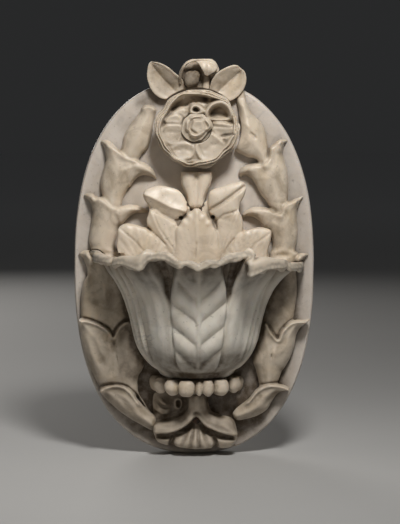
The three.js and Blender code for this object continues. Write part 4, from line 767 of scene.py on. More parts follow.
garland(
    "right",
    [
        ("husk", [(244, 86), (246.4, 96), (249, 105), (254.6, 114.3), (261.2, 121), (265.6, 128.6), (267.8, 136), (269, 143), (272, 156), (278, 172), (268, 182), (258, 174), (255.7, 161.2), (248, 159), (242, 156), (236, 152.5), (233, 146), (236, 128), (238, 112), (236, 100), (238, 88)], [(236, 86), (241, 84), (247, 86)], 38.5, 38.0, 0.3),
        ("husk", [(268, 158), (269, 148), (274, 143.5), (279, 139.5), (284, 140), (284, 152), (287, 163), (289, 172), (290, 182), (289.6, 192), (289.5, 200), (291, 212), (284, 224), (275, 224), (270, 212), (266, 203), (261, 196.5), (257, 190), (254, 184), (252, 178), (256, 168), (262, 164)], [(242.6, 166.5), (249, 164), (258, 163), (264, 165), (267.4, 166), (268, 158), (269.5, 150), (273, 144.5), (279, 139.8)], 38.5, 39.5, 1.4),
        ("horn", [(289.7, 140), (284.2, 138.4), (278.8, 139.5), (274.4, 144), (271.4, 150), (271, 160), (279, 162), (284, 153), (285.4, 146)], [(273, 156), (277, 147), (282, 142), (288, 140)], 39.0),
        ("horn", [(237.6, 174.5), (238.5, 170), (242.6, 165.8), (249, 163.6), (258, 162.4), (266, 165), (270, 172), (267, 186), (262, 195), (257.9, 191), (254.6, 184.5), (250.3, 179), (244.8, 177.4), (240.4, 179.2)], [(263, 167), (254, 166.6), (247, 168), (242, 171.6), (239.4, 177)], 39.5),
        ("husk", [(280, 213), (281.5, 207), (286, 202.5), (291, 200.5), (298, 198), (300, 204), (298.5, 212), (298.4, 222.5), (299.6, 232), (298.5, 241), (296.4, 250.5), (294, 260), (270, 260), (272, 246), (270, 236), (264, 229), (261, 226), (264, 216), (272, 212)], [(244.8, 211), (252.4, 207.4), (260, 206.8), (269, 208), (276, 212), (280.4, 215.5), (282, 210), (285.4, 205.4), (290, 201.6), (298, 198.6)], 38.5, 39.5, 1.4),
        ("horn", [(307.3, 193.8), (301.8, 196), (296.3, 198.6), (290, 200.8), (286, 204), (282, 210), (284, 218), (294, 217), (299, 208), (303, 200.6)], [(285, 211), (291, 204), (298, 199.6), (305.6, 195)], 39.0),
        ("horn", [(243.1, 219.7), (240.6, 215), (244.8, 210.8), (252.4, 207), (260, 206.4), (269, 207.6), (277, 212), (281, 220), (275, 229), (264, 229), (259, 223), (254.6, 219.6), (248, 218)], [(272, 211.6), (262, 209.6), (253, 210.2), (247, 213), (243.4, 218)], 39.5),
        ("husk", [(270, 252), (298, 252), (297.5, 262), (298, 280), (298.4, 292), (297.8, 301), (296, 312), (294, 324), (288, 342), (276, 352), (264, 346), (256, 332), (252, 318), (258, 300), (264, 278)], [(272, 250), (284, 248), (296, 250)], 38.5, 38.5, 0.3),
        ("horn", [(311.4, 255), (305.5, 253), (298.4, 253.8), (294, 259), (297, 268), (303, 262.6), (307, 258.6)], [(296, 261), (302, 256), (309.6, 255)], 39.0),
        ("husk", [(311.4, 319.4), (305.5, 320.4), (298.5, 320), (291.4, 321.8), (285.5, 326.4), (280.6, 332.4), (278, 339.4), (273.6, 334.6), (270, 328.8), (266, 322), (260, 330), (256, 345), (253, 355), (252.6, 364), (255.2, 371), (258, 382), (262, 398), (274, 396), (281, 378), (283, 372.5), (285.5, 370), (290, 362), (293.6, 353.6), (296, 345.4), (297.2, 337), (300.6, 330), (305.5, 325.2)], [(311.4, 319.4), (305.5, 320.4), (298.5, 320), (291.4, 321.8), (285.5, 326.4), (280.6, 332.4), (278, 339.4), (273.6, 334.6), (270, 328.8), (266, 322)], 41.5, 43.0, 3.5),
        ("husk", [(290.8, 390.8), (286.6, 386.6), (279.6, 384.8), (271.3, 384.2), (263, 386), (256, 390.2), (251.2, 396), (247, 401), (240, 406), (234.5, 411), (232, 416), (236, 422.4), (247.7, 421), (256, 418.5), (263, 415), (269, 410), (273.7, 402), (278.4, 396), (284.3, 392.5)], [(290.8, 390.8), (286.6, 386.4), (279.6, 384.6), (271.3, 384), (263, 385.8), (256, 390), (251.2, 395.8), (247, 401)], 41.5, 43.0, 3.5),
    ],
    [([(249, 131.5), (253, 135.5), (257, 139.4)], 1.0, -3.0), ([(243, 121), (247, 125.5), (251, 129.5)], 2.0, 0.9), ([(276.4, 342), (274.8, 349), (273, 356)], 2.0, 1.4), ([(284, 336), (284.6, 348), (280, 362)], 3.2, -0.9), ([(264, 340), (264, 354), (265, 368)], 3.2, -0.9), ([(291, 268), (292, 284), (290, 300)], 2.6, 0.8), ([(284, 392), (274, 396), (262, 408)], 2.4, -1.2), ([(262, 391), (254, 399), (244, 409)], 2.2, -0.9)],
    [([(272, 352), (271.5, 357), (272, 362)], 42, 0.8, 3), ([(274, 240), (274.5, 246)], 38, 0.8, 3)],
    [(230, 80), (244, 76), (258, 84), (256, 100), (246, 106), (232, 104)],
)


# --------------------------------------------------------------- leaf spray
def spray():
    p = Stone((-79, FLOOR - 1, -14), (79, 62, 85), 0.8)
    outline = [(143, 193.6), (147, 189), (159.7, 185.2), (174.6, 188.4), (181, 192.2), (185, 198), (186.4, 201), (191, 201.5), (197, 201.5), (203, 201.5), (207, 200), (208.4, 195.5), (212, 190), (224.4, 185.8), (236.8, 182), (243.4, 182), (246.6, 187), (244.6, 196), (240.4, 204), (239, 211), (242.4, 218), (243.6, 226), (246, 230.4), (259, 227.2), (268, 228.8), (271.6, 232), (271, 240), (268, 252), (266, 275), (124, 275), (118, 252), (116.4, 243), (117.4, 232), (120, 226), (126, 223.6), (135, 224.6), (146.5, 227.6), (146.4, 219.5), (148.6, 213.2), (147, 206), (143.6, 199)]
    r = Relief(p, 43.5, outline, 50.0)
    lean = 2.5 * smooth(60, -5, r.Z)

    def roof(line, high, fall, seed=0.0):
        """Keel along a line with faces falling off at both sides."""
        n, t = r.near(line)
        return high - fall * n + 0.8 * np.exp(-((n / 1.1) ** 2)) * np.sign(high)

    def veins(foot, amount, pitch):
        (x0, z0), = r.at([foot])
        return amount * np.cos(2 * np.pi * np.degrees(np.arctan2(r.X - x0, r.Z - z0)) / pitch)

    n, t = r.near([(142, 193), (158, 200.4), (172, 207.6), (188, 212)])
    r.lay([(143, 193.6), (147, 189), (159.7, 185.2), (174.6, 188.4), (181, 192.2), (185, 198), (187, 204.6), (187, 212), (178, 220), (166, 219), (156, 213), (148, 206), (143.6, 199)], 46.0, 48.5, 3, 0.8, 3.6 * np.exp(-n / 5.0) - 0.10 * n)
    n, t = r.near([(245, 186.4), (234, 194.4), (222, 203), (208, 211.5)])
    r.lay([(208.2, 195.5), (212, 190), (224.4, 185.8), (236.8, 182), (243.4, 182), (246.6, 187), (244.6, 196), (240.4, 204), (239, 212), (230, 222), (218, 221), (209, 212)], 47.5, 52.5, 4, 0.8, -3.0 * np.exp(-((n / 1.6) ** 2)) - 1.2 * np.exp(-n / 5.0))
    n, t = r.near([(152.5, 211), (159, 228), (172.4, 247), (178, 256)])
    r.lay([(150.6, 210), (156, 210.4), (163, 214.4), (170, 218.3), (177, 223.5), (178, 235), (178, 262), (160, 262), (157, 241), (151, 230.5), (146.4, 225), (146.2, 219.5), (148.2, 213.4)], 48.0, 50.5, 3, 0.8, lean + 2.6 * np.exp(-n / 5.5) - 1.6 * np.exp(-((n / 0.9) ** 2)) + veins((176, 262), 0.14, 9))
    n, t = r.near([(237, 212), (231, 229), (223, 250), (220, 262)])
    r.lay([(217.4, 220), (224, 214), (232, 212.4), (238.4, 210), (242.2, 217), (243.6, 226), (241, 236), (238, 246), (236, 262), (217, 262), (217, 240), (216.6, 228)], 48.0, 50.5, 3, 0.8, lean + 2.4 * np.exp(-n / 5.5) - 1.6 * np.exp(-((n / 0.9) ** 2)) + veins((220, 262), 0.14, 9))
    n, t = r.near([(119.4, 228), (134, 240), (150, 258)])
    r.lay([(117.6, 228.4), (124.9, 223.8), (134.8, 224.8), (147.3, 228.8), (157.2, 235.8), (167.2, 245.8), (174, 256), (176, 275), (126, 275), (116, 252), (116.2, 242), (117, 234)], 50.0, 53.0, 4, 0.8, lean + veins((146, 272), 0.2, 11) - 0.9 * np.exp(-((n / 1.0) ** 2)))
    n, t = r.near([(270, 233), (256, 243), (242, 260)])
    r.lay([(236, 236), (243, 231.4), (251, 228.6), (259.2, 227.2), (268, 228.8), (271.6, 232), (271, 240), (268, 252), (264, 275), (218, 275), (222, 256), (229, 244)], 50.0, 53.0, 4, 0.8, lean + veins((246, 272), 0.18, 11) - 0.9 * np.exp(-((n / 1.0) ** 2)))
    n, t = r.near([(197, 210), (197, 235), (197, 262)])
    side = np.abs(r.X - r.at([(197, 230)])[0][0])
    r.lay([(197, 208.2), (200.4, 209.4), (202.6, 212.4), (206.2, 213.8), (208.4, 218), (211.6, 220.8), (213.4, 225.4), (217.4, 231.6), (219.4, 245), (220, 275), (175.4, 275), (175.6, 245), (176, 230), (179.6, 224.4), (181.6, 220), (185.4, 217.4), (187.2, 213.4), (191.2, 211.6), (193.6, 209)], 52.6, 56.2, 4.5, 0.9, lean - 0.05 * side + veins((197, 268), 0.08, 8.5) + 0.9 * np.exp(-((n / 3.0) ** 2)) * smooth(70, 40, r.Z))
    for u, v in ((183.4, 219.4), (188.2, 214), (209.8, 220.4), (203.4, 214), (197, 210.6)):
        q, _ = r.near([(u, v), (197 + 0.86 * (u - 197), v + 3.4)])
        r.top = r.top + 0.6 * np.exp(-((q / 2.2) ** 2))
    for pts, w, by in (([(194.5, 258), (196, 248), (196.6, 241)], 0.8, -1.4), ([(147, 229.4), (157.4, 236.6), (167.6, 246.6)], 0.8, -1.6), ([(222, 256), (229, 244.6), (236, 237)], 0.8, -1.6), ([(151, 210.6), (160, 213.5), (170, 219), (177, 224)], 1.0, -1.5), ([(217, 221), (224, 214.6), (232, 212.6), (239, 210)], 1.0, -1.2)):
        r.line(pts, w, by, 0.15)
    r.carve(([23, 28, 33, 38, 42, 46, 60], [9, 8.5, 7, 4, 1.0, 0, 0]))
    for u, v in ((188.4, 205), (202.4, 205.4), (213.2, 216.8), (181, 218)):
        p.cut(ball(photo(u, v, 45), (2.0, 10, 2.1)), 1.0)
    p.keep(FLOOR - p.d)
    rho = np.hypot(p.x - AXIS_X, p.d - BASIN_BACK)
    inner = np.interp(p.z.ravel(), [-14, -6, 2, 9, 15, 28], [61, 65.3, 68.8, 72.8, 77.3, 85.3])[None, None, :]
    p.keep(np.where((p.z < 16) & (p.d > 39.3), (rho - inner) * 0.8, -9))
    p.keep(-12 + 0.3 - p.z)
    stem = sd_poly(p.x[:, 0, 0][:, None], p.z[0, 0, :][None, :], STEM_OUTLINE)[:, None, :]
    p.keep(np.where(p.d < 46.5, -stem, -9.0))
    stone("leaf_spray_carved", p.mesh(), "marble_pale", ["leaf_spray"], uneven=0.25)


STEM_SHAPE = [(-4.4, 57.2), (-5.2, 61), (-8.4, 67.5), (-9.5, 71), (-12.8, 79), (-14.4, 87), (-14, 97), (17, 97), (17, 87), (15.5, 79), (11.5, 71), (10.2, 67.5), (6.8, 61), (6.2, 57.2)]
STEM_OUTLINE = [(x + (-0.4 if i < 7 else 0.4), z - (0.4 if z < 58 else 0)) for i, (x, z) in enumerate(STEM_SHAPE)]


spray()


# ------------------------------------------------------------------ rose stem
def rose_stem():
    r = Stone((-17, FLOOR - 1, 55), (20, 47, 97), 0.6)
    f = Relief(r, 36.0, [(180.8, 160), (197, 158), (212.4, 160), (212.4, 176), (210.6, 184), (207.4, 192), (205.2, 199), (204, 208), (187, 208), (186.4, 199), (184, 192), (181.2, 184), (180.6, 174)], 42.0)
    for half, rib in (([(180.8, 160), (197.6, 160), (198, 176), (198, 188), (199, 208), (187, 208), (186.4, 199), (184, 192), (181.2, 184), (180.6, 174)], [(186.5, 164), (188, 180), (193, 204)]), ([(195.6, 160), (212.4, 160), (212.4, 176), (210.6, 184), (207.4, 192), (205.2, 199), (204, 208), (193, 208), (195.4, 188), (195.4, 176)], [(206.5, 164), (205, 180), (199.5, 204)])):
        n, t = f.near(rib)
        f.lay(half, 38.5, 41.5, 4.0, 2.0, 1.6 * np.exp(-((n / 5.0) ** 2)))
    f.line([(196.8, 160), (196.6, 172), (196.4, 184)], 1.6, -1.8, 0.3)
    f.blur = 1.4
    f.carve(([23, 28, 34, 60], [1.5, 1.0, 0.0, 0.0]))
    shape = sd_poly(r.x[:, 0, 0][:, None], r.z[0, 0, :][None, :], STEM_SHAPE)[:, None, :]
    r.keep(FLOOR - r.d).keep(shape + 0 * r.d).keep(r.z - 95.1)
    stone("rose_stem_carved", r.mesh(), "marble", ["rose_stem"])


rose_stem()


# ----------------------------------------------------------------------- rose
ROSE_X, ROSE_Z = 2.1, 137.8


def rose_at(points):
    """Image points on the rose as offsets in x and z from its middle."""
    return [((u - 197.0) * 0.984, -(v - 129.0) * 0.988) for u, v in points]


def bearing(points, ang):
    """Distance from the rose's middle to a closed outline, by bearing."""
    p = np.asarray(points)
    a = np.arctan2(p[:, 1], p[:, 0])
    o = np.argsort(a)
    return np.interp(ang, np.concatenate([a[o] - 2 * np.pi, a[o], a[o] + 2 * np.pi]), np.tile(np.hypot(p[:, 0], p[:, 1])[o], 3))


def worn(top, s):
    """A height field rubbed soft."""
    k = np.exp(-((np.arange(-4, 5) / s) ** 2))
    k /= k.sum()
    for axis in (0, 1):
        q = np.pad(top, [(4, 4) if a == axis else (0, 0) for a in (0, 1)], mode="edge")
        n = top.shape[axis]
        top = sum(k[i] * np.take(q, np.arange(i, i + n), axis) for i in range(9))
    return top


def rose():
    r = Stone((-43, 22.5, 96), (47, 58.5, 179), 0.6)
    A, B = (r.x[:, 0, 0] - ROSE_X)[:, None], (r.z[0, 0, :] - ROSE_Z)[None, :]
    rho = np.hypot(A, B)
    ang = np.arctan2(B, A) + 0 * A
    outline = closed([(-42, -4), (-41, 10), (-36, 20), (-30, 27.5), (-20, 34), (-11, 38), (0, 38.6), (13, 38), (24, 33), (31, 28), (36.5, 17), (41.5, 7), (42, -2), (39, -15), (33, -22), (24, -29.5), (15, -37), (4, -38.9), (-9, -37.5), (-20, -33.5), (-29, -28), (-36, -18)], 180)
    mouth = closed(rose_at([(186.7, 94.9), (179.8, 97.9), (172.9, 103.1), (168.3, 110), (165, 116), (161.6, 123.2), (160.2, 129.3), (161.8, 137), (165.6, 143.9), (169.4, 150), (174, 156.8), (182.9, 160.8), (193.6, 161.4), (205.1, 160.6), (213.5, 158.2), (221.6, 150.2), (226, 142.4), (232.4, 133.9), (233.8, 125.5), (232.6, 117), (230.4, 108.8), (226, 103.4), (218.9, 99.6), (211.6, 97.8), (204, 95.4), (195, 94.4)]), 180)
    e = -sd_poly(A, B, outline) + 0.5 * np.sin(9 * ang + 0.5) + 0.4 * np.sin(14 * ang + 2)
    ri, ro = bearing(mouth, ang), bearing(outline, ang)
    q = (rho - ri) / (ro - ri)
    sway = 0.16 * np.sin(5 * ang + 1.0) + 0.12 * np.sin(8 * ang + 0.4) + 0.06 * np.sin(15 * ang)
    qq = q + sway * smooth(-0.1, 0.25, q) * smooth(1.05, 0.8, q)
    rim = np.interp(qq, [-0.30, -0.08, 0.03, 0.13, 0.25, 0.36, 0.48, 0.58, 0.69, 0.82, 0.93, 1.0, 1.1], [40, 50, 54.8, 55.2, 53.2, 52.0, 54.0, 53.2, 50.2, 51.6, 50.4, 47.5, 45])
    rim = rim - 1.6 * smooth(-12, -30, B) * smooth(0.2, 0.9, q) + 0.4 * np.sin(6 * ang + 2)
    floor = 45.4 + 3.3 * smooth(9, 1, B) + 0 * rho
    hollow = -sd_poly(A, B, closed(rose_at([(170, 111), (174, 103), (181, 97), (189, 94.5), (199, 94.5), (207, 96.5), (209.5, 100), (206.5, 103.5), (200, 103), (192.5, 103.6), (188, 108), (181, 108.5), (175, 112)])))
    floor = floor - 8.5 * smooth(-0.4, 3.4, hollow)
    top = np.maximum(floor, np.where(q > -0.3, rim, 0))

    def pad(points, high, dip, soft=1.1, tilt=0.08):
        nonlocal top
        s = -sd_poly(A, B, closed(rose_at(points)))
        h = high - dip * (1 - np.exp(-np.clip(s - soft, 0, None) / 3.0)) + tilt * (rho - 24)
        side = smooth(-0.7, soft, s)
        top = np.where((s > -0.7) & (q < 0.05), np.maximum(top, floor * (1 - side) + h * side), top)

    pad([(171, 113.6), (177.5, 109.4), (185, 108.6), (190, 111.5), (188.5, 116), (184.6, 119.4), (180.4, 115.8), (174.5, 115.2)], 48.4, 0.8, 1.6)
    pad([(164.6, 120.2), (170, 115.4), (177.5, 114.6), (182.6, 119.2), (180.6, 124.2), (173, 123.8), (166, 123.6)], 50.0, 1.4)
    pad([(161, 130), (164.4, 125.4), (172, 124.4), (180.4, 125.2), (182.2, 129.5), (181, 138.8), (177.6, 143.6), (171.4, 146), (165.2, 142.2), (161.6, 135.6)], 50.4, 1.7)
    pad([(169.6, 147), (173, 146), (178.3, 142.6), (186, 142.4), (193.8, 145.8), (195.2, 152.6), (191, 158.6), (183, 160.4), (175.6, 156.8)], 50.8, 1.6)
    pad([(194.9, 145.6), (199.4, 141.6), (205, 137.6), (210.6, 132.8), (215.4, 135.2), (221, 139.2), (225, 144), (221.6, 150.4), (214.6, 157.4), (206.6, 161), (200.4, 159.8), (196, 152.8)], 52.2, 2.0)
    pad([(211.4, 128.2), (217, 127.2), (226.5, 127.6), (233.6, 128), (233.4, 133.6), (228, 139.6), (222.6, 139.6), (217, 137.2), (213.6, 132.4)], 50.8, 1.5)
    pad([(211, 122.6), (217, 121), (226, 121.8), (233.4, 124.6), (230.6, 128.2), (222, 127.2), (215, 126.4)], 51.0, 0.5, 2.0)
    # seam inside the lower right petal and the slit in the right one
    for pts, w, deep in (([(198.4, 144.6), (199.6, 149.6), (202.4, 155.4)], 0.8, 1.4), ([(221, 136.4), (226, 135.2), (232.4, 134.6)], 1.0, 3.6), ([(164, 133), (171, 131.5), (178, 133)], 1.6, 0.7), ([(177, 150), (184, 148.6), (191, 151)], 1.8, 0.7), ([(205, 150), (211, 145), (217, 144)], 1.8, 0.8)):
        line = [np.asarray(x) for x in rose_at(pts)]
        near = np.full(rho.shape, 1e9)
        for a, b in zip(line[:-1], line[1:]):
            t = np.clip(((A - a[0]) * (b - a)[0] + (B - a[1]) * (b - a)[1]) / ((b - a) @ (b - a)), 0, 1)
            near = np.minimum(near, np.hypot(A - a[0] - t * (b - a)[0], B - a[1] - t * (b - a)[1]))
        top = top - deep * np.exp(-((near / w) ** 2))
    # hooded petal at the upper right: a raised arch over a deep hollow
    arch = -sd_poly(A, B, closed(rose_at([(204.2, 117), (205.4, 109), (211, 102.6), (219, 100), (227, 102.6), (232, 109.6), (233.2, 119), (229, 121.4), (219, 121.4), (209, 121)])))
    bowl = -sd_poly(A, B, closed(rose_at([(207.4, 117.4), (209, 110.6), (213.6, 106), (220, 104.4), (225.8, 106.8), (229.2, 112.6), (230, 119), (226.6, 120.6), (218, 120.8), (210.6, 120.4)])))
    top = np.where(arch > -0.6, np.maximum(top, floor + (50.6 + 4.4 * smooth(8, 16, B) - floor) * smooth(-0.6, 1.3, arch)), top)
    top = np.where(bowl > -0.5, np.minimum(top, 54.4 - (4.2 + 9.3 * smooth(6.5, 15, B)) * smooth(-0.5, 3.6, bowl)), top)
    # small folded petal over the heart
    curl = -sd_poly(A, B, closed(rose_at([(188.8, 112.6), (190, 107), (193.4, 104), (198, 104.6), (203.4, 107), (206, 111), (203.6, 114.4), (197.6, 115.4), (191.6, 114.8)])))
    eye = -sd_poly(A, B, closed(rose_at([(192.2, 111.6), (193, 108.4), (195.2, 107), (198, 108.4), (199.4, 111.4), (196.4, 112.8)])))
    top = np.where(curl > -0.6, np.maximum(top, floor + (54.0 - floor) * smooth(-0.6, 1.6, curl)), top)
    top = np.where(eye > -0.5, np.minimum(top, 53.6 - 8.5 * smooth(-0.5, 1.4, eye)), top)
    inner = smooth(0.12, -0.06, q)
    top = top * (1 - inner) + worn(top, 1.9) * inner
    gx, gz = np.gradient(top, r.h)
    slope = np.sqrt(1 + np.minimum(gx**2 + gz**2, 9))
    front = (r.d - top[:, None, :]) / slope[:, None, :]
    flare = np.interp(r.d.ravel(), [23.6, 30, 36, 42, 47, 51, 60], [15, 12, 7.5, 3.2, 0.6, 0, 0])[None, :, None]
    side = (-e)[:, None, :] + flare
    r.a = np.maximum(np.maximum(front, side * 0.9), 23.6 - r.d).astype(np.float32)
    hole = np.maximum(np.hypot(r.x - ROSE_X, r.z - ROSE_Z) - 14.3, 45.0 - r.d)
    r.keep(-hole)
    stone("rose_carved", r.mesh(), "marble", ["rose"], uneven=0.2)
    # heart: a five-sided cup with a flat button in it
    k = Stone((ROSE_X - 17, 44, ROSE_Z - 17), (ROSE_X + 17, 59, ROSE_Z + 17), 0.45)
    A, B = (k.x[:, 0, 0] - ROSE_X)[:, None], (k.z[0, 0, :] - ROSE_Z)[None, :]
    base = -sd_poly(A, B, closed(rose_at([(188, 117.4), (193.6, 114.8), (201.2, 114.9), (207.2, 118.4), (210.6, 123.4), (211, 127.6), (207.2, 132), (201.2, 138.6), (195, 140.4), (188.8, 138.8), (183, 133.4), (183.4, 127), (185, 120.8)])))
    lip = -sd_poly(A, B, closed(rose_at([(188.8, 118.8), (193.8, 116), (201, 116), (206.5, 119.5), (210, 124), (210.3, 127.5), (206, 131.4), (200.5, 136), (195, 137.2), (190, 135.2), (186, 130.4), (186.2, 126), (186.9, 121.5)])))
    cup = -sd_poly(A, B, closed(rose_at([(190.6, 120.3), (194.4, 117.8), (200.4, 117.8), (205, 120.8), (208.1, 124.8), (208.3, 127.4), (204.8, 130.2), (199.8, 133.4), (195.4, 134.2), (191.4, 132.4), (188.5, 129.2), (188.5, 125.6), (188.9, 122.4)])))
    spin = np.arctan2(B, A)
    cap = -sd_poly(A, B, closed([(1.10 * a, 1.10 * b) for a, b in rose_at([(188, 117.4), (193.6, 114.8), (201.2, 114.9), (207.2, 118.4), (210.6, 123.4), (211, 127.6), (207.2, 132), (201.2, 138.6), (195, 140.4), (188.8, 138.8), (183, 133.4), (183.4, 127), (185, 120.8)])]))
    top = 49.4 + 2.4 * smooth(-1.4, 2.2, base) + 4.8 * smooth(-1.2, 0.8, lip) - 3.6 * np.abs(np.cos(2.5 * spin + 0.6)) ** 10 * smooth(6.5, 9.5, np.hypot(A, B)) + 0.9 * np.sin(3 * spin + 1.0) * smooth(4, 9, np.hypot(A, B))
    top = np.where(cup > -0.4, np.minimum(top, 56.4 - 3.4 * smooth(-0.4, 1.0, cup)), top)
    bx, bz = rose_at([(198.2, 126.4)])[0]
    five = [np.radians(90 + 72 * i) for i in range(5)]
    but = np.max([np.cos(t) * (A - bx) + np.sin(t) * (B - bz) for t in five], axis=0)
    top = np.maximum(top, 56.3 - 4.6 * smooth(5.9, 7.0, but) - 0.7 * smooth(4.4, 0, but))
    top = worn(top, 2.4)
    gx, gz = np.gradient(top, k.h)
    slope = np.sqrt(1 + np.minimum(gx**2 + gz**2, 9))
    k.a = np.maximum(np.maximum((k.d - top[:, None, :]) / slope[:, None, :], np.where(k.d < 48.4, (np.hypot(A, B) - 13.9)[:, None, :], (0.6 * np.abs(np.cos(2.5 * spin + 0.6)) ** 8 - cap)[:, None, :])), 45.3 - k.d).astype(np.float32)
    stone("rose_heart_carved", k.mesh(), "marble", ["rose_heart"], uneven=0.15)


rose()


# ---------------------------------------------------------------------- crest
def crest():
    room = lambda s: s.keep((1 - np.sqrt(((s.x - 2.1) / 43.6) ** 2 + ((s.z - 137.8) / 40.2) ** 2)) * 42)
    under = lambda T, S: 20 - 12.5 * smooth(0.35, 0.75, T)
    fold = lambda T, S: -4.5 * np.exp(-np.abs(S) / 0.34) * smooth(0.0, 0.3, T) * smooth(1.0, 0.82, T) + 0.9 * bump(np.abs(S), 0.9, 0.14)
    for side in ("left", "right"):
        box = ((-49, FLOOR - 1, 163), (-6, 40, 205.5)) if side == "left" else ((12, FLOOR - 1, 162), (53, 41, 203))
        s = Stone(*box, 0.65)
        s.add(leaf(**LEAVES["crest_" + side], det=fold, rnd=1.5, thick=under, low=FLOOR))
        room(s.keep(FLOOR - s.d))
        stone("crest_leaf_" + side + "_carved", s.mesh(), "marble", ["crest_leaf_" + side], uneven=0.2)
    c = Stone((-16, FLOOR - 1, 172), (26, 48, 207.5), 0.55)
    back = leaf(seen([(181, 92, 30), (180.5, 80, 31), (183, 70, 32), (190, 62.5, 33), (197, 59.5, 34)]), seen([(200, 94, 30), (200, 78, 30), (200, 66, 31), (199.5, 59.5, 34)]), seen([(218, 92, 30), (219.5, 80, 32), (218.5, 72, 35), (212, 62.5, 36), (203, 59.5, 35)]), low=FLOOR)
    c.add(back)
    band = [photo(u, v, d) for u, v, d in ((180.4, 84, 32), (180.2, 76, 35), (182.4, 69, 38), (187.2, 63.2, 40), (193.5, 60.2, 41), (200, 59.4, 41), (207, 59.8, 40), (213, 63, 38), (217, 69.5, 36), (218, 77, 33))]
    c.add(tube(band, [1.4, 1.6, 1.6, 1.6, 1.7, 2.0, 2.4, 2.6, 2.2, 1.8], 16, 1.3), 1.0)
    tongue = leaf(seen([(193.5, 60.5, 39.5), (198, 63.6, 43), (201.6, 69, 45), (204.6, 74.6, 43)]), seen([(204, 59.6, 41), (207.5, 63.6, 45.6), (208, 69.5, 47), (206.8, 75.8, 43.6)]), seen([(215, 63.5, 38), (217.4, 67.5, 41.5), (215, 71.5, 43.5), (209.5, 75, 43)]), rnd=2.4, thick=lambda T, S: 5.0 + 0 * T, low=FLOOR, det=lambda T, S: -0.8 * bump(S, -0.3, 0.25) + 0.5 * bump(np.abs(S), 0.92, 0.12))
    c.add(tongue, 0.8)
    c.cut(ball(photo(193.5, 66, 38), (8.5, 7.0, 3.6)), 1.0)
    for u, v, d, size in ((192.2, 79, 35, (7.4, 6.0, 7.0)), (189.6, 82, 34.4, (5.2, 5.6, 5.4)), (195.6, 75.6, 35, (4.8, 5.6, 5.0)), (190, 75.4, 35, (4.6, 5.0, 4.2))):
        c.add(ball(photo(u, v, d), size), 1.2)
    c.cut(ball(photo(186, 87.4, 36), (1.5, 9, 1.7)), 0.5)
    c.cut(ball(photo(201, 80, 37), (1.9, 8, 4.4)), 0.8)
    c.add(tube([photo(u, v, d) for u, v, d in ((206, 76, 31.5), (206.5, 82, 31.5), (205.6, 90, 31))], [2.6, 3.4, 3.8], 14), 2.0)
    c.cut(slit([(210.6, 77), (210.2, 83), (210, 89)], 33, 0.8, 4), 0.5)
    room(c.keep(FLOOR - c.d))
    for side in ("left", "right"):
        f, s = c.field(leaf(**LEAVES["crest_" + side], rnd=1.5, low=FLOOR - 3))
        if f is not None:
            c.a[s] = np.maximum(c.a[s], 0.5 - f)
    c.keep(c.z - 206.2)
    stone("crest_curl_carved", c.mesh(), "marble", ["crest_curl"], uneven=0.32)


crest()


# ------------------------------------------------------------ hanger and slab
def hanger():
    b = Stone((-42, 0.4, 100.5), (41, 8.6, 109.5), 0.5)
    b.a = np.minimum(np.maximum(np.maximum(np.abs(b.x - SLAB_X) - 29.2, np.abs(b.d - 4.4) - 3.1), np.abs(b.z - 105) - 3.1), np.maximum(np.maximum(np.abs(b.x - SLAB_X) - 39.9, np.abs(b.d - 4.4) - 2.4), np.abs(b.z - 105) - 2.4)).astype(np.float32)
    v, q = b.mesh()
    SHAPES["hanger_bar_forged"] = (relax(v, q, 2) + normals(v, q) * (0.16 * noise(v, 5.0, 2.2) - 0.1)[:, None], q, "iron", ["hanger_bar"])
    for side, sign in (("left", -1), ("right", 1)):
        x0, x1 = sorted((SLAB_X + sign * 30.3, SLAB_X + sign * 42.5))
        s = Stone((x0, 0.0, 97.0), (x1, 9.6, 113.0), 0.6)
        s.a = np.maximum(np.maximum(np.abs((s.x - SLAB_X) * sign - 36.15) - 5.7, np.abs(s.d - 4.6) - 4.2), np.abs(s.z - 105) - 6.9).astype(np.float32)
        end = np.maximum(np.maximum((s.x - SLAB_X) * sign - 40.2, np.abs(s.d - 4.4) - 2.7), np.abs(s.z - 105) - 2.7)
        s.keep(-end)
        v, q = s.mesh()
        SHAPES["hanger_lead_" + side + "_poured"] = (relax(v, q, 4) + normals(v, q) * (0.25 * noise(v, 3.5, 5.0) - 0.15)[:, None], q, "lead", ["hanger_lead_" + side])


hanger()


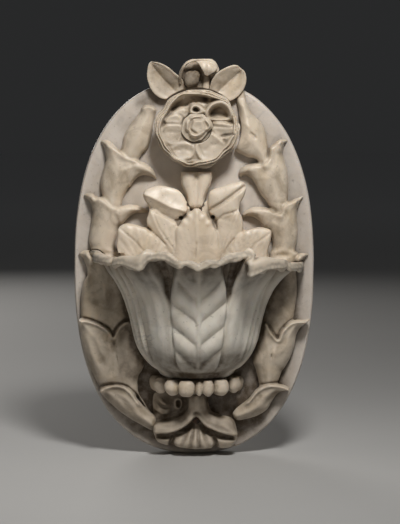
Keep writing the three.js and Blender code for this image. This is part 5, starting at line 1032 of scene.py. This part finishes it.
def slab():
    n = 240
    a = np.linspace(0, 2 * np.pi, n, endpoint=False)
    c, s = np.cos(a), np.sin(a)
    k = (np.abs(c) ** SLAB_FULL + np.abs(s) ** SLAB_FULL) ** (-1 / SLAB_FULL)
    ca, sa = c * k, s * k
    v = []
    for f in np.linspace(0.004, 0.965, 30):
        v.append(np.stack([(SLAB_A - 2.4) * f * ca, 23 + 0 * a, (SLAB_B - 2.4) * f * sa], 1))
    for inset, d in ((3.0, 23.0), (2.1, 22.9), (1.3, 22.4), (0.6, 21.6), (0.2, 20.6), (0.02, 19.2), (0.0, 14.0), (0.0, 8.0), (0.02, 2.6), (0.3, 1.1), (0.9, 0.3), (1.6, 0.0), (3.0, 0.0)):
        v.append(np.stack([(SLAB_A - inset) * ca, d + 0 * a, (SLAB_B - inset) * sa], 1))
    for f in np.linspace(0.94, 0.004, 6):
        v.append(np.stack([(SLAB_A - 3) * f * ca, 0 * a, (SLAB_B - 3) * f * sa], 1))
    m = len(v)
    v = np.vstack(v)
    k = np.arange(m * n).reshape(m, n)
    j = np.roll(k, -1, 1)
    f = [np.stack([k[:-1], k[1:], j[1:], j[:-1]], -1).reshape(-1, 4)]
    for ring in (k[0], k[-1]):
        f.append(np.array([[ring[i], ring[i + 1], ring[n - 2 - i], ring[n - 1 - i]] for i in range(n // 2 - 1)]))
    q = np.vstack(f)
    front = v[:, 1] > 15
    w = 0.5 * noise(v, 34.0, 1.3) + 0.3 * noise(v, 13.0, 8.2)
    inward = -np.stack([v[:, 0] / SLAB_A, 0 * v[:, 0], v[:, 2] / SLAB_B], 1)
    edge = ((np.abs(v[:, 0]) / SLAB_A) ** SLAB_FULL + (np.abs(v[:, 2]) / SLAB_B) ** SLAB_FULL) > 0.975
    v[front, 1] += (0.28 * w - 0.2)[front]
    v[edge] += inward[edge] * (0.30 + 0.30 * noise(v, 22.0, 5.5))[edge][:, None]
    return v + np.array([SLAB_X, 0.0, SLAB_Z]), q


SLAB = slab()


# --------------------------------------------------- where grime, painted shade, wear and painted light gather
GRID = 1.6
G0 = np.array([-78, -3, -121])
GN = np.array([156, 87, 253])


def blur(a, r, rounds=2):
    for _ in range(rounds):
        for ax in range(3):
            p = np.concatenate([np.repeat(np.take(a, [0], ax), r + 1, ax), a, np.repeat(np.take(a, [-1], ax), r, ax)], ax)
            c = np.cumsum(p, axis=ax, dtype=np.float32)
            n = a.shape[ax]
            hi = np.take(c, np.arange(2 * r + 1, 2 * r + 1 + n), ax)
            lo = np.take(c, np.arange(0, n), ax)
            a = (hi - lo) / (2 * r + 1)
    return a


def fullness():
    grid = np.full(GN, 3 * GRID, np.float32)
    for v, q in [s[:2] for s in SHAPES.values()] + [SLAB]:
        g = vdb.FloatGrid.createLevelSetFromPolygons(np.ascontiguousarray(v, np.float32), quads=np.ascontiguousarray(q, np.uint32), transform=vdb.createLinearTransform(voxelSize=GRID), halfWidth=3.0)
        a = np.empty(GN, np.float32)
        g.copyToArray(a, ijk=tuple(int(i) for i in G0))
        grid = np.minimum(grid, a)
    occ = np.clip(0.5 - grid / (2 * GRID), 0, 1)
    return blur(occ, 2), blur(occ, 6), blur(occ, 13)


def sample(a, p):
    q = np.clip(p / GRID - G0, 0, np.array(a.shape) - 1.001)
    i = q.astype(int)
    f = q - i
    r = 0
    for x in (0, 1):
        for y in (0, 1):
            for z in (0, 1):
                w = np.abs(1 - x - f[:, 0]) * np.abs(1 - y - f[:, 1]) * np.abs(1 - z - f[:, 2])
                r = r + w * a[i[:, 0] + x, i[:, 1] + y, i[:, 2] + z]
    return r


NEAR, WIDE, FAR = fullness()


# Hollows under the bowl's lip as image outlines, with how much painted shade each gets on its front-facing surfaces.
SHADED_FANS = [
    ([(143, 264), (150, 260), (165, 259.5), (176, 265), (175, 274), (172, 286), (168, 298), (162, 290), (154, 279), (147, 270)], 0.75),
    ([(221, 264), (232, 260), (245, 259), (253, 264), (251, 271), (244, 282), (235, 294), (229, 295), (226, 285), (222, 273)], 0.75),
    ([(184, 268), (195, 269), (194, 281), (188, 277)], 0.45),
    ([(202, 269), (214, 267), (210, 277), (203, 283)], 0.45),
]


def grime_shade_wear_light(v, n, name):
    """Grime and painted shade in the recesses, under lips and overhangs, in cast shadows and towards the bottom; wear
    on the proud edges and a painted pool of light on the slab; both 0 to 1.
    """
    p = v + n * 1.2
    near, wide, far = sample(NEAR, p), sample(WIDE, p), sample(FAR, p)
    # Grime with painted shade in creases (near), painted shade in the deep recesses round the bowl (wide, far), more of
    # it towards the bottom (low).
    low = smooth(40, -70, v[:, 2])
    grime_shade = 0.8 * smooth(0.47, 0.68, near) + (0.35 + 0.4 * low) * smooth(0.46, 0.70, wide) + 0.35 * low * smooth(0.46, 0.66, far)
    x, d, z = v.T
    if name == "basin_carved":
        bear, rho = np.degrees(np.arctan2(x - AXIS_X, d - BASIN_BACK)), np.hypot(x - AXIS_X, d - BASIN_BACK)
        # Less grime and painted shade on the bowl's flanks low down.
        grime_shade = grime_shade * (1 - 0.75 * smooth(20, 34, np.abs(bear)) * smooth(0, -15, z))
        # Painted shade under the lip: deepest in the two funnels beside the middle petal, with a band under the whole
        # lip and two marks under the middle lip.
        face = smooth(100, 95, rho) * smooth(0.35, 0.0, n[:, 2])
        fan, out = 8 + 7 * smooth(-32, -6, z), 8 * smooth(-34, 2, z)
        grime_shade = grime_shade + face * smooth(14, 9, z) * (1.0 * (bump(bear, -20.5 - out, fan) + bump(bear, 23.5 + out, fan)) * smooth(-34, -8, z) + 0.45 * smooth(-24, -2, z) + 0.4 * bump(np.abs(bear - 2), 7, 5) * smooth(-28, -8, z))
        # Darker low on the bowl's front, more so to the right, and a little on the far flanks low down.
        grime_shade = grime_shade + smooth(-64, -96, z) * smooth(45, 60, d) * (1.1 + 0.4 * smooth(5, 45, x)) + 0.16 * smooth(0.8, 1.0, np.abs(bear) / 75) * smooth(-100, -60, z)
        # Painted shade in those hollows under the lip.
        for points, much in SHADED_FANS:
            q = [photo(a, b, 98) for a, b in points]
            grime_shade = grime_shade + much * smooth(-2.5, 3.5, -sd_poly(x, z, [(c[0], c[2]) for c in q])) * smooth(45, 60, d) * smooth(0.0, 0.25, n[:, 1])
        # Painted shade in a band about 5 mm below the rolled lip's edge.
        edge = LIP[0]
        off = np.full(len(v), 1e9)
        rim = z > -14
        q = v[rim]
        if len(q):
            off[rim] = np.min([np.linalg.norm(q - e, axis=1) for e in edge], axis=0)
        grime_shade = grime_shade + 0.6 * bump(off, 5.0, 1.3)
        # Darker spots where the chevron grooves meet the seams, at three heights.
        turn = np.abs(np.abs(bear - 2.0) - 21.0)
        for at in (-21.0, -44.0, -67.0):
            grime_shade = grime_shade + 0.4 * np.exp(-((turn / 4.5) ** 2) - ((z - at) / 6.0) ** 2) * smooth(60, 70, d)
        streak = np.sin(0.8 * bear + 2.2 * np.sin(0.045 * z)) * np.sin(0.31 * bear + 0.03 * z + 1.3)
        grime_shade = grime_shade + 0.1 * smooth(0.3, 0.9, streak) * smooth(20, 34, np.abs(bear)) * smooth(8, -8, z) * smooth(-98, -70, z)
    elif name.startswith("garland"):
        # Painted shade under the bowl's lip ends, stronger on the right, and at the top of the garlands under the crest
        # leaves, mostly the left; painted shadow of the bowl down the left garland's outer edge; darker towards the
        # bottom.
        grime_shade = grime_shade + smooth(8, -4, z) * smooth(-75, -35, z) * np.where(x > 0, 0.95, 0.5) * np.where(x > 0, smooth(98, 86, x), smooth(-100, -84, x)) + smooth(-60, -100, z) * np.where(x > 0, 0.32, 0.4) + 0.5 * np.where(x < 0, smooth(-80, -73, x), 0) * smooth(-50, -58, z) * smooth(-122, -110, z) + 0.5 * smooth(146, 160, z) * np.where(x > 0, 0.2, 1.0)
    elif name == "foot_pendant_carved":
        # Painted shade over the whole foot, which lies in the bowl's shadow.
        grime_shade = grime_shade + 0.9
    elif name == "rose_stem_carved":
        # Half the grime and painted shade, so the stem stays light under the rose's cast shadow: painted light.
        grime_shade = 0.5 * grime_shade
    elif name == "bead_collar_carved":
        # Grime and painted shade on the beads' backs and upper halves, under the bowl.
        grime_shade = grime_shade + 0.3 * smooth(60, 50, d) + 0.45 * smooth(-115, -111, z)
    elif name == "slab":
        # On the slab: painted shade kept low on the upper slab; painted shade in the recess under the left crest leaf;
        # painted shadow of the bowl low in the middle and down the left edge; darker towards the right edge and towards
        # the bottom.
        grime_shade = grime_shade * (1 - 0.75 * smooth(-30, 20, z)) + 0.75 * smooth(157, 164, z) * smooth(-26, -34, x) * smooth(-64, -57, x) * smooth(20, 22, d) + 0.95 * smooth(16, 21, d) * smooth(-112, -130, z) * smooth(76, 62, np.abs(x - 1.5)) + 0.3 * smooth(16, 21, d) * smooth(-30, -60, z) * smooth(-60, -75, x) + 0.2 * smooth(16, 21, d) * smooth(70, 92, x) + 0.35 * smooth(16, 21, d) * smooth(-95, -150, z)
    # Painted shade on downward-facing surfaces low down.
    if name not in ("slab", "basin_carved"):
        grime_shade = grime_shade + 0.45 * smooth(-0.05, -0.6, n[:, 2]) * low
    wear_light = smooth(0.42, 0.24, near)
    if name == "basin_carved":
        wear_light = wear_light * (1 - 0.6 * smooth(-10, 3, z))
    elif name == "slab":
        # Painted light: a lighter patch on the slab around the stem and the leaf spray, where the rose shades it.
        wear_light = wear_light + 0.9 * smooth(58, 48, np.abs(x - 2)) * smooth(40, 55, z) * smooth(150, 135, z) * smooth(16, 21, d)
    elif name == "crest_curl_carved":
        shade = smooth(203, 195, z) * smooth(46, 43.5, d) * smooth(10, 4, x)
        grime_shade, wear_light = grime_shade + 0.8 * shade, wear_light * (1 - shade)
    elif name in ("crest_leaf_left_carved", "crest_leaf_right_carved", "rose_carved", "rose_heart_carved"):
        grime_shade = grime_shade + (0.34 if name == "crest_leaf_left_carved" else 0.2 if name.startswith("rose") else 0.06)
    return np.clip(grime_shade, 0, 1), wear_light


# ------------------------------------------------------------------ materials
def tree(name):
    m = bpy.data.materials.new(name)
    m.use_nodes = True
    t = m.node_tree
    t.nodes.clear()
    out = t.nodes.new("ShaderNodeOutputMaterial")
    b = t.nodes.new("ShaderNodeBsdfPrincipled")
    t.links.new(b.outputs[0], out.inputs[0])
    return m, t, b


def node(t, kind, **settings):
    n = t.nodes.new(kind)
    for k, v in settings.items():
        setattr(n, k, v)
    return n


def noise_tex(t, coord, scale, detail=4.0, rough=0.55, distort=0.0):
    n = node(t, "ShaderNodeTexNoise")
    n.inputs["Scale"].default_value = scale
    n.inputs["Detail"].default_value = detail
    n.inputs["Roughness"].default_value = rough
    n.inputs["Distortion"].default_value = distort
    t.links.new(coord, n.inputs["Vector"])
    return n.outputs["Fac"]


def remap(t, src, a, b, c, d):
    n = node(t, "ShaderNodeMapRange", interpolation_type="SMOOTHSTEP")
    for k, v in zip(("From Min", "From Max", "To Min", "To Max"), (a, b, c, d)):
        n.inputs[k].default_value = v
    t.links.new(src, n.inputs["Value"])
    return n.outputs["Result"]


def math_node(t, op, a, b=None):
    n = node(t, "ShaderNodeMath", operation=op)
    for i, v in enumerate((a, b)):
        if v is None:
            continue
        if isinstance(v, (int, float)):
            n.inputs[i].default_value = v
        else:
            t.links.new(v, n.inputs[i])
    return n.outputs[0]


def mix_colour(t, fac, a, b, blend="MIX"):
    n = node(t, "ShaderNodeMix", data_type="RGBA", blend_type=blend)
    t.links.new(fac, n.inputs[0])
    for i, v in ((6, a), (7, b)):
        if isinstance(v, tuple):
            n.inputs[i].default_value = (*v, 1)
        else:
            t.links.new(v, n.inputs[i])
    return n.outputs[2]


def marble(name, light, mid, brown, vein, veins=0.35, grime_shade=1.0, stain=0.0):
    m, t, b = tree(name)
    co = node(t, "ShaderNodeTexCoord").outputs["Object"]
    cloud = noise_tex(t, co, 16.0, 5.0, 0.6, 0.3)
    fine = noise_tex(t, co, 120.0, 5.0, 0.6)
    col = mix_colour(t, remap(t, cloud, 0.32, 0.68, 0, 1), light, mid)
    line = math_node(t, "ABSOLUTE", math_node(t, "SUBTRACT", noise_tex(t, co, 11.0, 6.0, 0.55, 1.1), 0.5))
    line = remap(t, line, 0.0, 0.022, veins, 0.0)
    line = math_node(t, "MULTIPLY", line, remap(t, cloud, 0.42, 0.62, 0.15, 1.0))
    col = mix_colour(t, line, col, vein)
    if stain:
        col = mix_colour(t, remap(t, noise_tex(t, co, 42.0, 5.0, 0.62, 0.8), 0.43, 0.66, 0.0, stain), col, tuple(0.55 * a * b for a, b in zip(mid, (1.0, 0.92, 0.80))))
        col = mix_colour(t, remap(t, noise_tex(t, co, 33.0, 4.0, 0.55, 0.5), 0.50, 0.68, 0.0, 0.7 * stain), col, tuple(a * b for a, b in zip(light, (0.95, 0.88, 0.74))))
        col = mix_colour(t, remap(t, noise_tex(t, co, 75.0, 4.0, 0.6, 0.3), 0.52, 0.68, 0.0, 0.6 * stain), col, tuple(1.18 * c for c in light))
    warm = node(t, "ShaderNodeAttribute", attribute_type="GEOMETRY", attribute_name="warm").outputs["Fac"]
    col = mix_colour(t, warm, col, (0.56, 0.455, 0.335))
    # Point attributes darken the stone toward brown for grime and painted shade, and lighten it for worn edges and
    # painted light.
    grime_shade_attr = node(t, "ShaderNodeAttribute", attribute_type="GEOMETRY", attribute_name="grime_shade").outputs["Fac"]
    worn = node(t, "ShaderNodeAttribute", attribute_type="GEOMETRY", attribute_name="wear_light").outputs["Fac"]
    grime_shade_mix = math_node(t, "MULTIPLY", grime_shade_attr, remap(t, fine, 0.3, 0.7, 0.75 * grime_shade, 1.1 * grime_shade))
    col = mix_colour(t, math_node(t, "MULTIPLY", grime_shade_mix, 0.94), col, brown)
    speck = remap(t, noise_tex(t, co, 330.0, 2.0, 0.5), 0.66, 0.74, 0.0, 0.35)
    col = mix_colour(t, speck, col, brown)
    col = mix_colour(t, math_node(t, "MULTIPLY", worn, 0.45), col, tuple(min(1, c * 1.12) for c in light))
    t.links.new(col, b.inputs["Base Color"])
    rough = math_node(t, "ADD", remap(t, fine, 0.3, 0.7, 0.34, 0.52), math_node(t, "MULTIPLY", grime_shade_attr, 0.22))
    t.links.new(rough, b.inputs["Roughness"])
    b.inputs["Specular IOR Level"].default_value = 0.5
    b.inputs["IOR"].default_value = 1.5
    b.inputs["Subsurface Weight"].default_value = 0.22
    b.inputs["Subsurface Radius"].default_value = (1.0, 0.72, 0.45)
    b.inputs["Subsurface Scale"].default_value = 0.0035
    bm = node(t, "ShaderNodeBump")
    bm.inputs["Strength"].default_value = 0.22
    bm.inputs["Distance"].default_value = 0.0005
    t.links.new(noise_tex(t, co, 210.0, 4.0, 0.6), bm.inputs["Height"])
    t.links.new(bm.outputs[0], b.inputs["Normal"])
    return m


def rough_stuff(name, a, b_col, scale, metallic, r0, r1, height):
    m, t, b = tree(name)
    co = node(t, "ShaderNodeTexCoord").outputs["Object"]
    n = noise_tex(t, co, scale, 6.0, 0.62, 0.4)
    t.links.new(mix_colour(t, remap(t, n, 0.35, 0.65, 0, 1), a, b_col), b.inputs["Base Color"])
    t.links.new(remap(t, n, 0.3, 0.7, r0, r1), b.inputs["Roughness"])
    b.inputs["Metallic"].default_value = metallic
    bm = node(t, "ShaderNodeBump")
    bm.inputs["Strength"].default_value = 0.5
    bm.inputs["Distance"].default_value = height
    t.links.new(noise_tex(t, co, scale * 3, 5.0, 0.6), bm.inputs["Height"])
    t.links.new(bm.outputs[0], b.inputs["Normal"])
    return m


BROWN = (0.095, 0.066, 0.040)
MAT = {
    "marble": marble("cream marble", (0.71, 0.615, 0.50), (0.57, 0.48, 0.37), BROWN, (0.40, 0.36, 0.31), 0.5, 1.0, 0.8),
    "marble_pale": marble("pale marble", (0.87, 0.825, 0.74), (0.76, 0.705, 0.61), BROWN, (0.38, 0.36, 0.34), 0.6, 1.0, 0.26),
    "marble_cream": marble("waxed marble", (0.76, 0.66, 0.54), (0.67, 0.565, 0.445), BROWN, (0.45, 0.38, 0.29), 0.4, 0.8, 0.5),
    "slab": marble("slab marble", (0.66, 0.60, 0.54), (0.58, 0.515, 0.45), BROWN, (0.40, 0.37, 0.34), 0.55, 1.05, 0.28),
    "iron": rough_stuff("forged iron", (0.035, 0.028, 0.024), (0.13, 0.062, 0.032), 160.0, 0.75, 0.5, 0.85, 0.0004),
    "lead": rough_stuff("poured lead", (0.20, 0.21, 0.22), (0.30, 0.31, 0.32), 120.0, 0.8, 0.45, 0.7, 0.0003),
    "mortar": rough_stuff("lime mortar", (0.44, 0.39, 0.31), (0.55, 0.50, 0.42), 180.0, 0.0, 0.85, 1.0, 0.0006),
}


# --------------------------------------------------------------------- pieces
def placed(v):
    """From the carving's millimetres to metres about the middle of the slab's back."""
    return np.stack([v[:, 0] - SLAB_X, -v[:, 1], v[:, 2] - SLAB_Z], 1) / 1000.0


def build(name, v, q, material, slot, replaced, grime_shade_attr=True):
    me = bpy.data.meshes.new(name)
    co = placed(v)
    n = normals(v, q)
    me.vertices.add(len(v))
    me.vertices.foreach_set("co", co.astype(np.float32).ravel())
    f = q[:, ::-1]
    me.loops.add(4 * len(f))
    me.loops.foreach_set("vertex_index", f.astype(np.int32).ravel())
    me.polygons.add(len(f))
    me.polygons.foreach_set("loop_start", np.arange(0, 4 * len(f), 4, dtype=np.int32))
    me.update(calc_edges=True)
    me.validate()
    me.polygons.foreach_set("use_smooth", np.ones(len(me.polygons), bool))
    # Grime with painted shade, and wear with painted light, stored on the points.
    if grime_shade_attr:
        grime_shade, wear_light = grime_shade_wear_light(v, n, name)
        warm = 0.3 * smooth(-62, -12, v[:, 2]) + 0.55 * smooth(-14, 5, v[:, 2]) if name == "basin_carved" else 0 * grime_shade
        for key, val in (("grime_shade", grime_shade), ("wear_light", wear_light), ("warm", warm)):
            at = me.attributes.new(key, "FLOAT", "POINT")
            at.data.foreach_set("value", val.astype(np.float32))
    me.materials.append(material)
    o = bpy.data.objects.new(name, me)
    bpy.context.scene.collection.objects.link(o)
    if slot:
        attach(o, "root")
        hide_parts(*replaced)
    return o


# The leaf spray is cream marble; the rose stem takes the lighter cream stone too, standing in for light under the
# rose's cast shadow (painted light).
for name, (v, q, slot, replaced) in SHAPES.items():
    build(name, v, q, MAT["marble_cream" if name in ("leaf_spray_carved", "rose_stem_carved") else slot], slot, replaced, slot.startswith("marble"))


def slab_piece():
    v, q = SLAB
    me = bpy.data.meshes.new("slab")
    me.from_pydata(placed(v).tolist(), [], q.tolist())
    me.update()
    o = bpy.data.objects.new("back_plate_carved", me)
    bpy.context.scene.collection.objects.link(o)
    cutters = []
    for lo, hi in (((SLAB_X - 30, -3, 92), (SLAB_X + 30, 15, 118)), ((SLAB_X - 42.3, -3, 97.7), (SLAB_X + 42.3, 9.3, 112.3))):
        bv, bq = block(lo, hi)
        cm = bpy.data.meshes.new("pocket")
        cm.from_pydata(placed(bv).tolist(), [], bq.tolist())
        cm.update()
        c = bpy.data.objects.new("pocket", cm)
        bpy.context.scene.collection.objects.link(c)
        cutters.append(c)
    for c in (o, *cutters):
        bm = bmesh.new()
        bm.from_mesh(c.data)
        bmesh.ops.recalc_face_normals(bm, faces=bm.faces)
        bm.to_mesh(c.data)
        bm.free()
    for c in cutters:
        md = o.modifiers.new("cut", "BOOLEAN")
        md.operation, md.solver, md.object = "DIFFERENCE", "EXACT", c
    dg = bpy.context.evaluated_depsgraph_get()
    new = bpy.data.meshes.new_from_object(o.evaluated_get(dg))
    o.modifiers.clear()
    o.data = new
    for c in cutters:
        bpy.data.objects.remove(c)
    new.materials.clear()
    new.materials.append(MAT["slab"])
    p = np.empty(len(new.vertices) * 3, np.float32)
    new.vertices.foreach_get("co", p)
    p = p.reshape(-1, 3) * 1000.0
    n = np.empty(len(new.vertices) * 3, np.float32)
    new.vertices.foreach_get("normal", n)
    n = n.reshape(-1, 3)
    # Grime with painted shade, and wear with painted light, for the slab's points.
    grime_shade, wear_light = grime_shade_wear_light(np.stack([p[:, 0] + SLAB_X, -p[:, 1], p[:, 2] + SLAB_Z], 1), np.stack([n[:, 0], -n[:, 1], n[:, 2]], 1), "slab")
    for key, val in (("grime_shade", grime_shade), ("wear_light", wear_light)):
        at = new.attributes.new(key, "FLOAT", "POINT")
        at.data.foreach_set("value", val.astype(np.float32))
    new.polygons.foreach_set("use_smooth", np.ones(len(new.polygons), bool))
    new.set_sharp_from_angle(angle=math.radians(38))
    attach(o, "root")
    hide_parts("back_plate")


slab_piece()

for name, o in nodes.items():
    kind = "mortar" if name == "basin_bed" else "iron" if ("dowel" in name or "_pin" in name) else None
    if kind:
        o.data.materials.clear()
        o.data.materials.append(MAT[kind])

# ------------------------------------------------------ floor, light and camera
bm = bmesh.new()
bmesh.ops.create_grid(bm, x_segments=8, y_segments=8, size=9.0)
fm = bpy.data.meshes.new("floor")
bm.to_mesh(fm)
bm.free()
floor = bpy.data.objects.new("floor", fm)
floor.location = (0, 0.3, -0.1875)
bpy.context.scene.collection.objects.link(floor)
m, t, b = tree("pale floor")
co = node(t, "ShaderNodeTexCoord").outputs["Object"]
away = node(t, "ShaderNodeVectorMath")
away.operation = "LENGTH"
t.links.new(co, away.inputs[0])
fade = node(t, "ShaderNodeMapRange")
fade.interpolation_type = "SMOOTHSTEP"
fade.inputs["From Min"].default_value, fade.inputs["From Max"].default_value = 1.0, 4.0
t.links.new(away.outputs["Value"], fade.inputs["Value"])
near = mix_colour(t, noise_tex(t, co, 3.0, 3.0), (0.50, 0.495, 0.485), (0.54, 0.535, 0.525))
t.links.new(mix_colour(t, fade.outputs["Result"], near, (0.97, 0.97, 0.97)), b.inputs["Base Color"])
b.inputs["Roughness"].default_value = 0.7
fm.materials.append(m)

world = bpy.data.worlds.new("studio")
bpy.context.scene.world = world
world.use_nodes = True
bg = world.node_tree.nodes["Background"]
bg.inputs["Color"].default_value = (0.86, 0.88, 0.90, 1)
bg.inputs["Strength"].default_value = 0.025


def lamp(name, loc, aim, size, power, colour=(1, 1, 1), spread=180):
    l = bpy.data.lights.new(name, "AREA")
    l.shape, l.size, l.energy, l.color = "DISK", size, power, colour
    l.spread = math.radians(spread)
    o = bpy.data.objects.new(name, l)
    o.location = loc
    o.rotation_euler = (Vector(aim) - Vector(loc)).to_track_quat("-Z", "Y").to_euler()
    bpy.context.scene.collection.objects.link(o)


lamp("key", (0.14, -0.64, 0.70), (0.0, -0.05, 0.0), 0.20, 3.0, (1.0, 0.985, 0.96), 120)
lamp("fill", (-0.6, -1.6, 0.5), (0.0, -0.05, 0.0), 1.2, 1.6, (1.0, 0.93, 0.82))
lamp("back", (-0.7, 1.9, 0.7), (0.0, 0.0, 0.0), 1.0, 4.5, (1.0, 0.97, 0.93), 120)

cam = bpy.data.cameras.new("camera")
cam.sensor_fit = "VERTICAL"
cam.sensor_height = 36.0
cam.lens = 36.0 * 2000 / 524
cam.clip_start, cam.clip_end = 0.05, 50
co = bpy.data.objects.new("camera", cam)
e = math.radians(5)
co.location = ((5.0 - SLAB_X) / 1000, -0.023 - 2.0 * math.cos(e), (4.4 - SLAB_Z) / 1000 + 2.0 * math.sin(e))
co.rotation_euler = (math.radians(85), 0, 0)
bpy.context.scene.collection.objects.link(co)
bpy.context.scene.camera = co
bpy.context.scene.view_settings.view_transform = "Standard"
